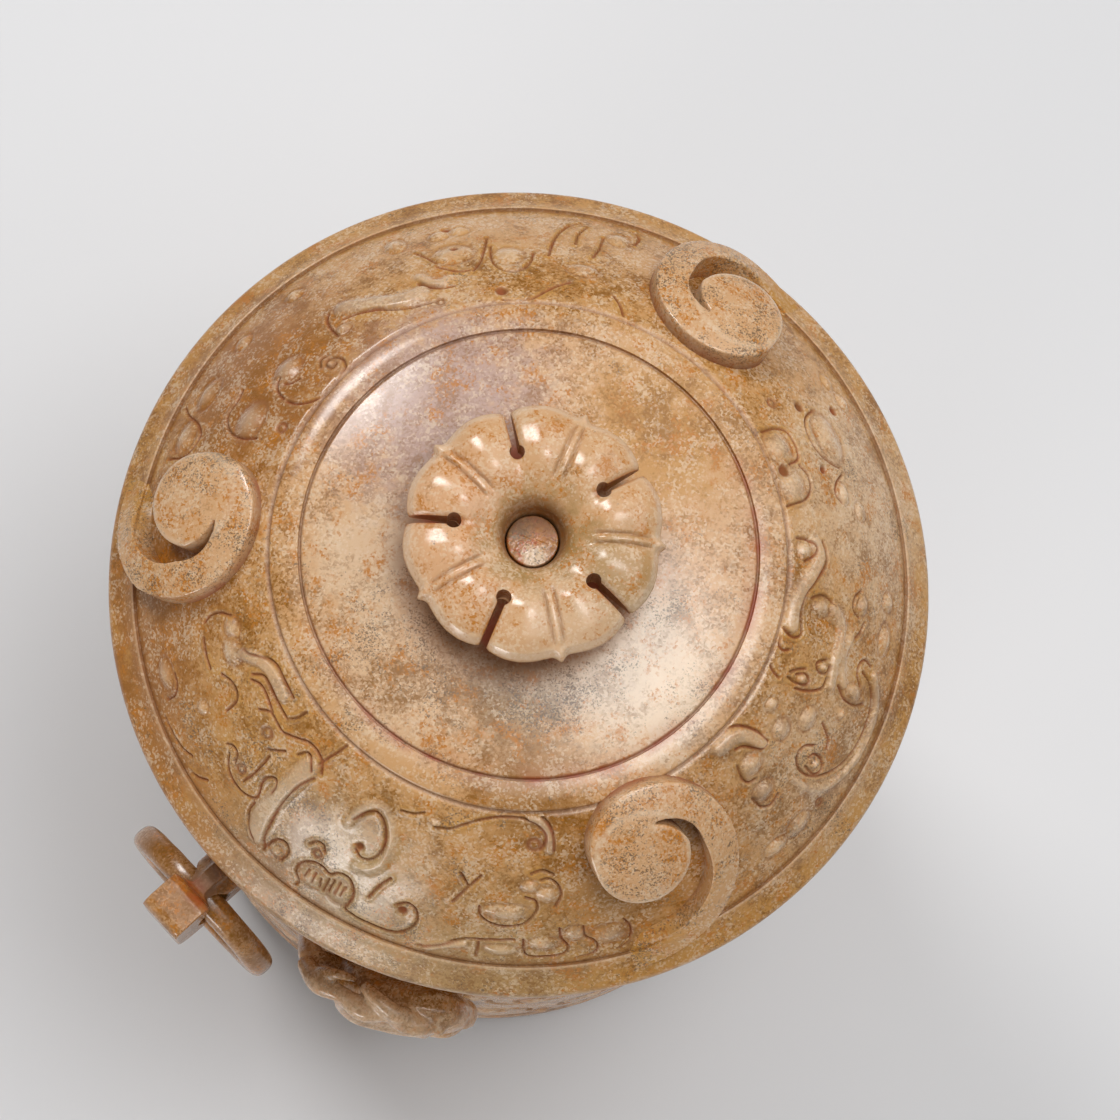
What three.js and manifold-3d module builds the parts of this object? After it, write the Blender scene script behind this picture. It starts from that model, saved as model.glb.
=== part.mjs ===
// A lidded cylindrical cup of brown jade on three low feet. The domed lid carries a five-petalled knob
// on a peg and three scroll knobs. A loose ring hangs in a lug on the wall, beside a climbing dragon.
// Millimetres, +Z up. The origin is on the table, on the axis of the cup.

import * as THREE from "three";
import { mergeVertices } from "three/addons/utils/BufferGeometryUtils.js";
import Module from "manifold-3d";

const wasm = await Module();
wasm.setup();

// Cup
const CUP_RADIUS = 40;
const CUP_HEIGHT = 88;
const WALL = 5;
const FLOOR = 7;
const INSIDE_FILLET = 3;
const BASE_CHAMFER = 1;

// Feet
const FOOT_HEIGHT = 7;
const FOOT_RADIUS = 6;
const FOOT_ANKLE_RADIUS = 4.6;
const FOOT_INSET = 7.5;
const FOOT_TENON_RADIUS = 2.3;

// Lid, from its edge to its middle: rim band, frieze, ring band and central field
const LID_OVERHANG = 4;
const RIM_EDGE = 2.2;
const RIM_BAND = 3.1;
const RIM_RISE = 2.65;
const FRIEZE_WIDTH = 14.2;
const FRIEZE_RISE = 12.85;
const RING_BAND = 2.85;
const RING_BAND_RISE = 1.1;
const FIELD_STEP = 0.4;
const FIELD_RISE = 2.3;
const LID_THICKNESS = 5.5;
const COLLAR_DEPTH = 5;
const COLLAR_WALL = 4.5;

// Flower knob and the peg it stands on
const FINIAL_RADIUS = 12.8;
const FINIAL_HEIGHT = 7;
const STEM_RADIUS = 6.2;
const PETAL_EDGE = 1;
const PETAL_DROP = 1.6;
const WELL_DEPTH = 2.8;
const PETALS = 5;
const SAW_CUT = 0.8;
const SLOT_LENGTH = 4.7;
const SLOT_HOLE_RADIUS = 0.8;
const PEG_RADIUS = 2.5;
const PEG_TOP_DEPTH = 4;

// Scroll knobs
const KNOB_INSETS = [0, 0, 1.8];
const KNOB_DISC_RADIUS = 4.9;
const KNOB_HEIGHT = 3.5;
const KNOB_TILT = 32;
const KNOB_RUN_ANGLE = 17;
const KNOB_TENON_RADIUS = 2.1;
const KNOB_TENON = 3.2;

// Ring and lug
const RING_RADIUS = 9;
const RING_BAR = 3.2;
const LUG_WIDTH = 4.8;
const EYE_REACH = 6.8;
const EYE_DROP = 10;
const EYE_WALL = 1.1;
const LUG_BLOCK = 4.4;
const LUG_BLOCK_RISE = 2.5;
const LUG_CORNER = 1;
const LUG_TENON_RADIUS = 2.3;

// Dragon, whose route is drawn in units of its thickest radius
const DRAGON_RADIUS = 3;
const DRAGON_TENON_RADIUS = 1.5;

// Places round the axis, in degrees anticlockwise from +X
const KNOB_AZIMUTH = 42.5;
const PETAL_AZIMUTH = 58.5;
const LUG_AZIMUTH = 215;
const DRAGON_AZIMUTH = 243;
const FOOT_AZIMUTH = 45;
const FEET = 3;

// Fits: pieces that bear on each other lie a seat gap apart, the collar has more room in the mouth, and
// every socket leaves some material behind it. A pin into the wall is rooted in the piece outside it.
const SEAT_GAP = 0.3;
const COLLAR_CLEARANCE = 0.5;
const SOCKET_BACKING = 1.5;
const WALL_PIN_ROOT = 2;

// Facets round a full turn of the large and the small round pieces, and steps along a curve
const TURN_FACETS = 48;
const SMALL_FACETS = 16;
const CURVE_STEPS = 5;

const degrees = THREE.MathUtils.degToRad;
const point = (x, y) => new THREE.Vector2(x, y);

// Heights and radii worked out from the sizes above. The lid's heights are from its flat underside.
const LID_RADIUS = CUP_RADIUS + LID_OVERHANG;
const BORE_RADIUS = CUP_RADIUS - WALL;
const MOUTH_HEIGHT = FOOT_HEIGHT + CUP_HEIGHT;
const LID_HEIGHT = MOUTH_HEIGHT + SEAT_GAP;
const FRIEZE_FOOT = point(LID_RADIUS - RIM_BAND, RIM_EDGE + RIM_RISE);
const FRIEZE_TOP = point(FRIEZE_FOOT.x - FRIEZE_WIDTH, FRIEZE_FOOT.y + FRIEZE_RISE);
const RING_BAND_TOP = point(FRIEZE_TOP.x - RING_BAND, FRIEZE_TOP.y + RING_BAND_RISE);
const FIELD_EDGE = point(RING_BAND_TOP.x - FIELD_STEP, RING_BAND_TOP.y - FIELD_STEP);
const CROWN_HEIGHT = FIELD_EDGE.y + FIELD_RISE;
const FINIAL_TOP = CROWN_HEIGHT + FINIAL_HEIGHT;
const EYE_HEIGHT = MOUTH_HEIGHT - EYE_DROP;
const FOOT_CIRCLE = CUP_RADIUS - FOOT_INSET;
const WALL_TENON_TIP = BORE_RADIUS + SOCKET_BACKING + SEAT_GAP;
const FOOT_TENON_TOP = FOOT_HEIGHT + FLOOR - SOCKET_BACKING - SEAT_GAP;
const PEG_SOCKET_FLOOR = CROWN_HEIGHT - LID_THICKNESS + SOCKET_BACKING;

// Solids for joining and cutting

function solid(geometry) {
  const bare = geometry.index ? geometry.toNonIndexed() : geometry.clone();
  bare.deleteAttribute("normal");
  bare.deleteAttribute("uv");
  const merged = mergeVertices(bare, 1e-4);
  const vertProperties = merged.attributes.position.array;
  return new wasm.Manifold(new wasm.Mesh({ numProp: 3, vertProperties, triVerts: merged.index.array }));
}

function surface(manifold) {
  const made = manifold.getMesh();
  const geometry = new THREE.BufferGeometry();
  geometry.setAttribute("position", new THREE.BufferAttribute(made.vertProperties, 3));
  geometry.setIndex(new THREE.BufferAttribute(made.triVerts, 1));
  geometry.computeVertexNormals();
  return geometry;
}

// A closed profile of radius and height, turned round the Z axis
function turned(profile, facets = TURN_FACETS) {
  return new THREE.LatheGeometry(profile, facets).rotateX(Math.PI / 2);
}

// A plug on the Z axis
function plug(bottom, top, radius, facets = TURN_FACETS) {
  return turned([point(0, bottom), point(radius, bottom), point(radius, top), point(0, top)], facets);
}

// A round pin from one point to another
function pin(from, to, radius) {
  const along = to.clone().sub(from);
  const geometry = new THREE.CylinderGeometry(radius, radius, along.length(), SMALL_FACETS);
  const up = new THREE.Vector3(0, 1, 0);
  geometry.applyQuaternion(new THREE.Quaternion().setFromUnitVectors(up, along.clone().normalize()));
  return geometry.translate(...from.clone().lerp(to, 0.5));
}

function slab(shape, depth, curveSegments) {
  return new THREE.ExtrudeGeometry(shape, { depth, bevelEnabled: false, curveSegments });
}

function polar(radius, angle) {
  return [radius * Math.cos(degrees(angle)), radius * Math.sin(degrees(angle))];
}

function aroundAxis(geometry, azimuth) {
  return geometry.clone().rotateZ(degrees(azimuth));
}

// The outside of the lid, from the edge of its flat underside up to the axis
function lidOutside() {
  const path = new THREE.Path();
  path.moveTo(LID_RADIUS, 0);
  path.lineTo(LID_RADIUS, RIM_EDGE);
  path.lineTo(FRIEZE_FOOT.x, FRIEZE_FOOT.y);
  path.quadraticCurveTo(
    FRIEZE_TOP.x + 0.53 * FRIEZE_WIDTH,
    FRIEZE_FOOT.y + 0.66 * FRIEZE_RISE,
    FRIEZE_TOP.x,
    FRIEZE_TOP.y,
  );
  path.lineTo(RING_BAND_TOP.x, RING_BAND_TOP.y);
  path.lineTo(FIELD_EDGE.x, FIELD_EDGE.y);
  path.quadraticCurveTo(0.55 * FIELD_EDGE.x, CROWN_HEIGHT, 0, CROWN_HEIGHT);
  return path.getPoints(CURVE_STEPS);
}

// The lid as a solid plug whose top is raised, for seating pieces on it with a gap
function lidPlug(raise) {
  const raised = lidOutside().map((p) => point(p.x, p.y + raise));
  return turned([point(0, -COLLAR_DEPTH), point(LID_RADIUS, -COLLAR_DEPTH), ...raised]);
}

function lidShell() {
  const collarRadius = BORE_RADIUS - COLLAR_CLEARANCE;
  const hollowRadius = collarRadius - COLLAR_WALL;
  const ceiling = CROWN_HEIGHT - LID_THICKNESS;
  const shoulder = point(0.72 * hollowRadius, FRIEZE_TOP.y - LID_THICKNESS);
  const inside = new THREE.Path();
  inside.moveTo(0, ceiling);
  inside.quadraticCurveTo(0.55 * hollowRadius, ceiling, shoulder.x, shoulder.y);
  inside.quadraticCurveTo(0.98 * hollowRadius, 0.65 * shoulder.y, hollowRadius, 0);
  inside.lineTo(hollowRadius, -COLLAR_DEPTH);
  inside.lineTo(collarRadius, -COLLAR_DEPTH);
  inside.lineTo(collarRadius, 0);
  return turned([...inside.getPoints(3), ...lidOutside()]);
}

// The height of the lid's outside at a radius inside the frieze
function friezeHeight(radius) {
  const points = lidOutside();
  const i = points.findIndex((p, k) => k > 1 && p.x <= radius);
  const [outer, inner] = [points[i - 1], points[i]];
  return THREE.MathUtils.mapLinear(radius, outer.x, inner.x, outer.y, inner.y);
}

// Scroll knob: an eye disc from which a strap grows out in a spiral and runs off along the rim. It is
// made in the direction +X and turned to its place. One of the three stands further in, with a longer strap.
const KNOB_CIRCLE = FRIEZE_TOP.x + 0.48 * FRIEZE_WIDTH;
const KNOB_CROWN_RADIUS = 4.5 * KNOB_DISC_RADIUS;
const KNOB_GROWTH_RATIO = 0.215;
const KNOB_SPIRAL_ANGLE = 216;
const KNOB_STEP_ANGLE = 27;
const KNOB_AXIS = new THREE.Vector3(Math.sin(degrees(KNOB_TILT)), 0, Math.cos(degrees(KNOB_TILT)));

// The outline has its X round the lid, clockwise from above, and its Y outwards, in disc radii
function knobOutline(inset) {
  const disc = KNOB_DISC_RADIUS;
  const reach = 1 + inset / (2 * disc);
  const curve = (shape, ...ends) => shape.quadraticCurveTo(...ends.map((share) => share * disc));
  const spiral = [];
  for (let turn = KNOB_STEP_ANGLE; turn <= KNOB_SPIRAL_ANGLE; turn += KNOB_STEP_ANGLE) {
    spiral.push(point(...polar(disc * Math.exp(KNOB_GROWTH_RATIO * degrees(turn)), -turn)));
  }
  const shape = new THREE.Shape();
  shape.moveTo(disc, 0);
  shape.splineThru(spiral);
  curve(shape, -1.2, 2.25 * reach, 0.3, 2.25 * reach);
  curve(shape, 1.3, 2.25 * reach, 2.1, 1.95 * reach);
  curve(shape, 0.6, 2 * reach, -0.45, 1.7 * reach);
  curve(shape, -1.6, 1.25 * reach, -1.32, 0.2);
  curve(shape, -1.25, -0.75, -0.1, -0.68);
  curve(shape, -0.8, -0.62, -1, 0);
  shape.absarc(0, 0, disc, Math.PI, 0, true);
  return shape;
}

function knobFoot(inset) {
  const radius = KNOB_CIRCLE - inset;
  return new THREE.Vector3(radius, 0, friezeHeight(radius));
}

// From the outline's plane to the knob's place on the lid
function onKnob(geometry, inset) {
  return geometry.rotateZ(-Math.PI / 2).rotateY(degrees(KNOB_TILT)).translate(...knobFoot(inset));
}

// What is taken off above the end of the strap, so that it runs down to the rim, clear of the disc
function knobRunOff(inset) {
  const size = 8 * KNOB_DISC_RADIUS;
  const start = point(-1.4 * KNOB_DISC_RADIUS, 0.3 * KNOB_DISC_RADIUS);
  const above = new THREE.BoxGeometry(size, size, size).translate(size / 2, size / 2, size / 2);
  above.rotateY(degrees(KNOB_RUN_ANGLE)).translate(start.x, start.y, 0.3 * KNOB_HEIGHT);
  const kept = plug(-size, size, 1.22 * KNOB_DISC_RADIUS);
  return solid(onKnob(above, inset)).subtract(solid(onKnob(kept, inset)));
}

function alongKnob(inset, distance) {
  return knobFoot(inset).addScaledVector(KNOB_AXIS, distance);
}

function scrollKnob(inset) {
  const depth = 3 * KNOB_HEIGHT;
  const prism = onKnob(slab(knobOutline(inset), 2 * depth, 5).translate(0, 0, -depth), inset);
  const crown = new THREE.SphereGeometry(KNOB_CROWN_RADIUS, 24, 16);
  crown.translate(...alongKnob(inset, KNOB_HEIGHT - KNOB_CROWN_RADIUS));
  const lidSlope = Math.atan2(FRIEZE_RISE, FRIEZE_WIDTH);
  const seat = lidPlug(SEAT_GAP / Math.cos(lidSlope));
  const tenon = pin(alongKnob(inset, KNOB_HEIGHT / 2), alongKnob(inset, -KNOB_TENON), KNOB_TENON_RADIUS);
  const scroll = solid(prism).intersect(solid(crown)).subtract(knobRunOff(inset));
  return scroll.subtract(solid(seat)).add(solid(tenon));
}

function knobAzimuth(i) {
  return KNOB_AZIMUTH + (360 / KNOB_INSETS.length) * i;
}

function knobSocket(inset, azimuth) {
  const mouth = alongKnob(inset, KNOB_HEIGHT);
  const end = alongKnob(inset, -KNOB_TENON - SEAT_GAP);
  return solid(aroundAxis(pin(mouth, end, KNOB_TENON_RADIUS + SEAT_GAP), azimuth));
}

// Flower knob: a trumpet on a stem, cut to petals by saw slots that end in drilled holes
const FINIAL_BORE = PEG_RADIUS + SEAT_GAP;
const SLOT_HOLE_CIRCLE = FINIAL_RADIUS - SLOT_LENGTH;
const PETAL_STEP = 360 / PETALS;

function flowerOutline() {
  const halfSlot = THREE.MathUtils.radToDeg(SAW_CUT / 2 / FINIAL_RADIUS);
  const slotMouth = Math.asin(Math.min(1, SAW_CUT / 2 / SLOT_HOLE_RADIUS));
  const corner = 0.92 * FINIAL_RADIUS;
  const lobe = 1.06 * FINIAL_RADIUS;
  const notch = 0.98 * FINIAL_RADIUS;
  const lobeAngle = 0.3 * PETAL_STEP;
  const tipAngle = 4;
  const shape = new THREE.Shape();
  for (let petal = 0; petal < PETALS; petal += 1) {
    const middle = PETAL_AZIMUTH + petal * PETAL_STEP;
    const end = middle + PETAL_STEP / 2;
    const start = polar(corner, end - PETAL_STEP + halfSlot);
    if (petal === 0) shape.moveTo(...start);
    else shape.lineTo(...start);
    shape.quadraticCurveTo(...polar(lobe, middle - lobeAngle), ...polar(notch, middle - tipAngle));
    shape.lineTo(...polar(1.02 * FINIAL_RADIUS, middle));
    shape.lineTo(...polar(notch, middle + tipAngle));
    shape.quadraticCurveTo(...polar(lobe, middle + lobeAngle), ...polar(corner, end - halfSlot));
    const [x, y] = polar(SLOT_HOLE_CIRCLE, end);
    shape.absarc(x, y, SLOT_HOLE_RADIUS, degrees(end) - slotMouth, degrees(end) + slotMouth, true);
  }
  return shape;
}

function flowerFinial() {
  const foot = FIELD_EDGE.y;
  const edgeTop = FINIAL_TOP - PETAL_DROP;
  const reach = 1.05 * FINIAL_RADIUS;
  const crest = 0.6 * FINIAL_RADIUS;
  const wellTop = FINIAL_TOP - WELL_DEPTH;
  const path = new THREE.Path();
  path.moveTo(FINIAL_BORE, foot);
  path.lineTo(STEM_RADIUS, foot);
  path.lineTo(0.9 * STEM_RADIUS, CROWN_HEIGHT + 0.3 * FINIAL_HEIGHT);
  path.quadraticCurveTo(STEM_RADIUS, edgeTop - 2 * PETAL_EDGE, reach, edgeTop - PETAL_EDGE);
  path.lineTo(reach, edgeTop);
  path.quadraticCurveTo(0.8 * FINIAL_RADIUS, FINIAL_TOP, crest, FINIAL_TOP);
  path.quadraticCurveTo(0.4 * FINIAL_RADIUS, FINIAL_TOP, 1.15 * FINIAL_BORE, wellTop);
  path.lineTo(FINIAL_BORE, wellTop - SEAT_GAP);
  path.lineTo(FINIAL_BORE, foot);
  const trumpet = solid(turned(path.getPoints(3), 30));
  const prism = slab(flowerOutline(), 2 * FINIAL_HEIGHT, 4).translate(0, 0, FINIAL_TOP - 1.5 * FINIAL_HEIGHT);
  return trumpet.intersect(solid(prism)).subtract(solid(lidPlug(SEAT_GAP)));
}

function finialPeg() {
  return plug(PEG_SOCKET_FLOOR + SEAT_GAP, FINIAL_TOP - PEG_TOP_DEPTH, PEG_RADIUS, SMALL_FACETS);
}

function lid() {
  let made = solid(lidShell());
  made = made.subtract(solid(plug(PEG_SOCKET_FLOOR, FINIAL_TOP, FINIAL_BORE, SMALL_FACETS)));
  KNOB_INSETS.forEach((inset, i) => {
    made = made.subtract(knobSocket(inset, knobAzimuth(i)));
  });
  return made;
}

// Pieces on the wall are made in the direction +X and turned to their place
function wallPlug() {
  return plug(FOOT_HEIGHT, MOUTH_HEIGHT, CUP_RADIUS + SEAT_GAP);
}

function wallPin(height, tip, radius) {
  const root = CUP_RADIUS + WALL_PIN_ROOT;
  return pin(new THREE.Vector3(root, 0, height), new THREE.Vector3(tip, 0, height), radius);
}

// Ring lug: an arm with an eye across it and a square block at its end
const EYE_SAG = RING_RADIUS - Math.sqrt(RING_RADIUS ** 2 - (LUG_WIDTH / 2) ** 2);
const EYE_RADIUS = RING_BAR / 2 + EYE_SAG + SEAT_GAP;

function ringLug() {
  const over = EYE_RADIUS + EYE_WALL;
  const under = EYE_RADIUS + 1.7 * EYE_WALL;
  const back = EYE_REACH + over;
  const front = back + LUG_BLOCK - EYE_WALL;
  const top = over + LUG_BLOCK_RISE;
  const shape = new THREE.Shape();
  shape.moveTo(-1, -1.3 * under);
  shape.quadraticCurveTo(0.5 * EYE_REACH, -under, EYE_REACH + LUG_CORNER, -under);
  shape.quadraticCurveTo(front, -under, front, -0.3 * under);
  shape.lineTo(front, top - LUG_CORNER);
  shape.lineTo(front - LUG_CORNER, top);
  shape.lineTo(back + LUG_CORNER - EYE_WALL, top);
  shape.lineTo(back - EYE_WALL, top - LUG_CORNER);
  shape.quadraticCurveTo(back - EYE_WALL, over, EYE_REACH, over);
  shape.quadraticCurveTo(0.3 * EYE_REACH, over, -1, 1.6 * over);
  const eye = new THREE.Path();
  eye.absarc(EYE_REACH, 0, EYE_RADIUS, 0, 2 * Math.PI, true);
  shape.holes.push(eye);
  const arm = slab(shape, LUG_WIDTH, 8).translate(CUP_RADIUS, 0, -LUG_WIDTH / 2);
  arm.rotateX(Math.PI / 2).translate(0, 0, EYE_HEIGHT);
  const tenon = wallPin(EYE_HEIGHT, WALL_TENON_TIP, LUG_TENON_RADIUS);
  return solid(arm).subtract(solid(wallPlug())).add(solid(tenon));
}

function hangingRing() {
  return new THREE.TorusGeometry(RING_RADIUS, RING_BAR / 2, 10, 36).rotateZ(Math.PI / 2).rotateY(Math.PI / 2);
}

// Climbing dragon: a body and four legs, each a round limb along a route on the wall. A point of a route
// is its turn from the dragon's middle in degrees, then its depth under the mouth, its distance off the
// wall and its radius, all three in units of the thickest radius.
const DRAGON_BODY = [
  [-11, 24.9, 0.45, 0.35],
  [-13.5, 22.6, 0.5, 0.5],
  [-9, 20.3, 0.6, 0.66],
  [0, 18.6, 0.8, 1],
  [7, 16.3, 0.87, 0.97],
  [6, 13.3, 1.2, 0.87],
  [-2, 11.3, 1.5, 0.9],
  [-5, 9, 1.1, 1.05],
  [1, 7, 1.55, 0.83],
  [8, 6.8, 1.5, 0.97],
  [12.5, 8, 1.4, 0.62],
];
const DRAGON_LEGS = [
  [[-5, 9.3, 1, 0.7], [-11, 8, 1.25, 0.52], [-13.5, 9.5, 0.45, 0.6]],
  [[-3, 9.6, 1, 0.7], [4.5, 10, 1.15, 0.5], [9.5, 11.1, 0.45, 0.6]],
  [[0, 18.4, 0.8, 0.75], [-7, 16.6, 1.15, 0.52], [-12, 17.5, 0.45, 0.6]],
  [[2, 18.6, 0.8, 0.75], [10, 19.3, 1.15, 0.52], [13, 21.3, 0.45, 0.6]],
];
const DRAGON_TENONS = [DRAGON_BODY[3], DRAGON_BODY[7]];

function onWall([turn, depth, off]) {
  const [x, y] = polar(CUP_RADIUS + off * DRAGON_RADIUS, turn);
  return new THREE.Vector3(x, y, MOUTH_HEIGHT - depth * DRAGON_RADIUS);
}

function limb(route, sides, steps) {
  const path = new THREE.CatmullRomCurve3(route.map(onWall));
  const girth = new THREE.SplineCurve(route.map((stop, i) => point(i, stop[3] * DRAGON_RADIUS)));
  const positions = [];
  const addTip = (t, reach) => {
    positions.push(...path.getPoint(t).addScaledVector(path.getTangent(t), reach * girth.getPoint(t).y));
  };
  addTip(0, -0.7);
  for (let i = 0; i <= steps; i += 1) {
    const centre = path.getPoint(i / steps);
    const along = path.getTangent(i / steps);
    const outwards = new THREE.Vector3(centre.x, centre.y, 0);
    const side = new THREE.Vector3().crossVectors(along, outwards).normalize();
    const lift = new THREE.Vector3().crossVectors(side, along);
    const radius = girth.getPoint(i / steps).y;
    for (let j = 0; j < sides; j += 1) {
      const [across, up] = polar(radius, (360 * j) / sides);
      positions.push(...centre.clone().addScaledVector(side, across).addScaledVector(lift, up));
    }
  }
  addTip(1, 0.7);
  const index = [];
  const last = 1 + (steps + 1) * sides;
  for (let j = 0; j < sides; j += 1) {
    const next = (j + 1) % sides;
    index.push(0, 1 + j, 1 + next);
    for (let ring = 1; ring < last - sides; ring += sides) {
      index.push(ring + j, ring + sides + j, ring + next);
      index.push(ring + next, ring + sides + j, ring + sides + next);
    }
    index.push(last, last - sides + next, last - sides + j);
  }
  const geometry = new THREE.BufferGeometry();
  geometry.setAttribute("position", new THREE.Float32BufferAttribute(positions, 3));
  return geometry.setIndex(index);
}

function dragonTenon([turn, depth], tip, radius) {
  return aroundAxis(wallPin(MOUTH_HEIGHT - depth * DRAGON_RADIUS, tip, radius), turn);
}

function climbingDragon() {
  let made = solid(limb(DRAGON_BODY, 8, 30));
  for (const route of DRAGON_LEGS) {
    made = made.add(solid(limb(route, 6, 6)));
  }
  made = made.subtract(solid(wallPlug()));
  for (const stop of DRAGON_TENONS) {
    made = made.add(solid(dragonTenon(stop, WALL_TENON_TIP, DRAGON_TENON_RADIUS)));
  }
  return made;
}

// Feet: low round feet, each with a tenon up into the floor of the cup
function foot() {
  const top = FOOT_HEIGHT - SEAT_GAP;
  const path = new THREE.Path();
  path.moveTo(0, 0);
  path.lineTo(0.9 * FOOT_RADIUS, 0);
  path.quadraticCurveTo(FOOT_RADIUS, 0.3 * top, FOOT_ANKLE_RADIUS, 0.5 * top);
  path.quadraticCurveTo(FOOT_ANKLE_RADIUS, 0.85 * top, FOOT_RADIUS, top);
  path.lineTo(FOOT_TENON_RADIUS, top);
  path.lineTo(FOOT_TENON_RADIUS, FOOT_TENON_TOP);
  path.lineTo(0, FOOT_TENON_TOP);
  return turned(path.getPoints(3), SMALL_FACETS);
}

function footAzimuth(i) {
  return FOOT_AZIMUTH + (360 / FEET) * i;
}

function footSocket(azimuth) {
  const socket = plug(0, FOOT_TENON_TOP + SEAT_GAP, FOOT_TENON_RADIUS + SEAT_GAP, SMALL_FACETS);
  return solid(aroundAxis(socket.translate(FOOT_CIRCLE, 0, 0), azimuth));
}

function cupBody() {
  const floor = FOOT_HEIGHT + FLOOR;
  const path = new THREE.Path();
  path.moveTo(0, FOOT_HEIGHT);
  path.lineTo(CUP_RADIUS - BASE_CHAMFER, FOOT_HEIGHT);
  path.lineTo(CUP_RADIUS, FOOT_HEIGHT + BASE_CHAMFER);
  path.lineTo(CUP_RADIUS, MOUTH_HEIGHT);
  path.lineTo(BORE_RADIUS, MOUTH_HEIGHT);
  path.lineTo(BORE_RADIUS, floor + INSIDE_FILLET);
  path.quadraticCurveTo(BORE_RADIUS, floor, BORE_RADIUS - INSIDE_FILLET, floor);
  path.lineTo(0, floor);
  let made = solid(turned(path.getPoints(3)));
  const socketTip = WALL_TENON_TIP - SEAT_GAP;
  const lugSocket = wallPin(EYE_HEIGHT, socketTip, LUG_TENON_RADIUS + SEAT_GAP);
  made = made.subtract(solid(aroundAxis(lugSocket, LUG_AZIMUTH)));
  for (const stop of DRAGON_TENONS) {
    const socket = dragonTenon(stop, socketTip, DRAGON_TENON_RADIUS + SEAT_GAP);
    made = made.subtract(solid(aroundAxis(socket, DRAGON_AZIMUTH)));
  }
  for (let i = 0; i < FEET; i += 1) {
    made = made.subtract(footSocket(footAzimuth(i)));
  }
  return made;
}

// The assembly

const jade = (color) => new THREE.MeshStandardMaterial({ color, roughness: 0.22, metalness: 0 });
const BROWN_JADE = jade(0x9a7342);
const OCHRE_JADE = jade(0xa9793c);
const GREY_JADE = jade(0x8d8468);
const DARK_JADE = jade(0x6f5130);

function piece(name, geometry, material) {
  const mesh = new THREE.Mesh(geometry, material);
  mesh.name = name;
  return mesh;
}

const cup = new THREE.Group();
cup.add(piece("cup_body", surface(cupBody()), BROWN_JADE));

const lidGroup = new THREE.Group();
lidGroup.position.z = LID_HEIGHT;
lidGroup.add(piece("lid", surface(lid()), BROWN_JADE));
lidGroup.add(piece("flower_finial", surface(flowerFinial()), OCHRE_JADE));
lidGroup.add(piece("finial_peg", finialPeg(), GREY_JADE));
KNOB_INSETS.forEach((inset, i) => {
  const knob = piece("scroll_knob_" + (i + 1), surface(scrollKnob(inset)), OCHRE_JADE);
  knob.rotation.z = degrees(knobAzimuth(i));
  lidGroup.add(knob);
});
cup.add(lidGroup);

const ringGroup = new THREE.Group();
ringGroup.rotation.z = degrees(LUG_AZIMUTH);
ringGroup.add(piece("ring_lug", surface(ringLug()), DARK_JADE));
const ring = piece("hanging_ring", hangingRing(), OCHRE_JADE);
ring.position.set(CUP_RADIUS + EYE_REACH, 0, EYE_HEIGHT - RING_RADIUS);
ringGroup.add(ring);
cup.add(ringGroup);

const dragon = piece("climbing_dragon", surface(climbingDragon()), BROWN_JADE);
dragon.rotation.z = degrees(DRAGON_AZIMUTH);
cup.add(dragon);

for (let i = 0; i < FEET; i += 1) {
  const mesh = piece("foot_" + (i + 1), foot(), DARK_JADE);
  const [x, y] = polar(FOOT_CIRCLE, footAzimuth(i));
  mesh.position.set(x, y, 0);
  cup.add(mesh);
}

export default cup;
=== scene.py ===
"""Looks of a lidded cup of brown jade.

It has a carved lid with a flower knob and scroll knobs, and a wall with a ring handle, a dragon and feet.
Sizes are written in millimetres and degrees, heights are above the table, and meshes are made in metres.
"""

import logging
import math
from contextlib import contextmanager
from dataclasses import dataclass
from enum import Enum
from itertools import pairwise
from typing import Callable, Iterator, Sequence

import bpy
import numpy as np
from mathutils import Matrix, Vector


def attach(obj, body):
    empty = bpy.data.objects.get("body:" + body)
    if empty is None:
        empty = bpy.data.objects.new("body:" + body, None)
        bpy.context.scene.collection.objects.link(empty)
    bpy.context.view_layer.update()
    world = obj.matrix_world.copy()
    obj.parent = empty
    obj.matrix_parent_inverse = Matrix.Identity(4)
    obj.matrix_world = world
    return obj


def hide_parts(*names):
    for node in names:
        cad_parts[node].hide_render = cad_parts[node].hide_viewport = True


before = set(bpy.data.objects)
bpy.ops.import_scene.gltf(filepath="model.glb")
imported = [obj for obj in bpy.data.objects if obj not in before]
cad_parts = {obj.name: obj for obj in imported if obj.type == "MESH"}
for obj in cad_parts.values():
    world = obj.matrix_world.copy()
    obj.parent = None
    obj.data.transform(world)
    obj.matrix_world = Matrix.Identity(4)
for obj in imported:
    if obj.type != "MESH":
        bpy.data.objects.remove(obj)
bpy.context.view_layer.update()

log = logging.getLogger("jade_cup")

MM = 0.001
FULL_TURN = 360.0
WELD = 1e-6
SHARP_EDGE = 60.0
POLISH_PASSES = 4
LIMB_SIDES = 12
LEAST_LIMB = 0.1
LINE_EDGE = 0.05

Colour = tuple[float, float, float]
Place = tuple[float, float, float]
Pair = tuple[float, float]
Point = Sequence[float]
Route = Sequence[Point]
Profile = list[Pair]
Inputs = dict[str | int, object]
Piece = bpy.types.Object
Socket = bpy.types.NodeSocket


class Body(Enum):
    """Bodies of the part that a piece can ride on."""

    CUP = "cup"
    LID = "lid"
    RING = "ring"


class Slot(Enum):
    """Finish slots of the part's record."""

    BROWN = "brown_jade"
    OCHRE = "ochre_jade"
    GREY = "grey_jade"
    DARK = "dark_jade"


# Measures along lines and over surfaces


def smoothstep(low: float, high: float, value: np.ndarray) -> np.ndarray:
    """Eases from 0 at low to 1 at high."""
    share = np.clip((value - low) / (high - low), 0.0, 1.0)
    return share * share * (3.0 - 2.0 * share)


def falling(low: float, high: float, value: np.ndarray) -> np.ndarray:
    """Eases from 1 at low to 0 at high."""
    return 1.0 - smoothstep(low, high, value)


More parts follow.
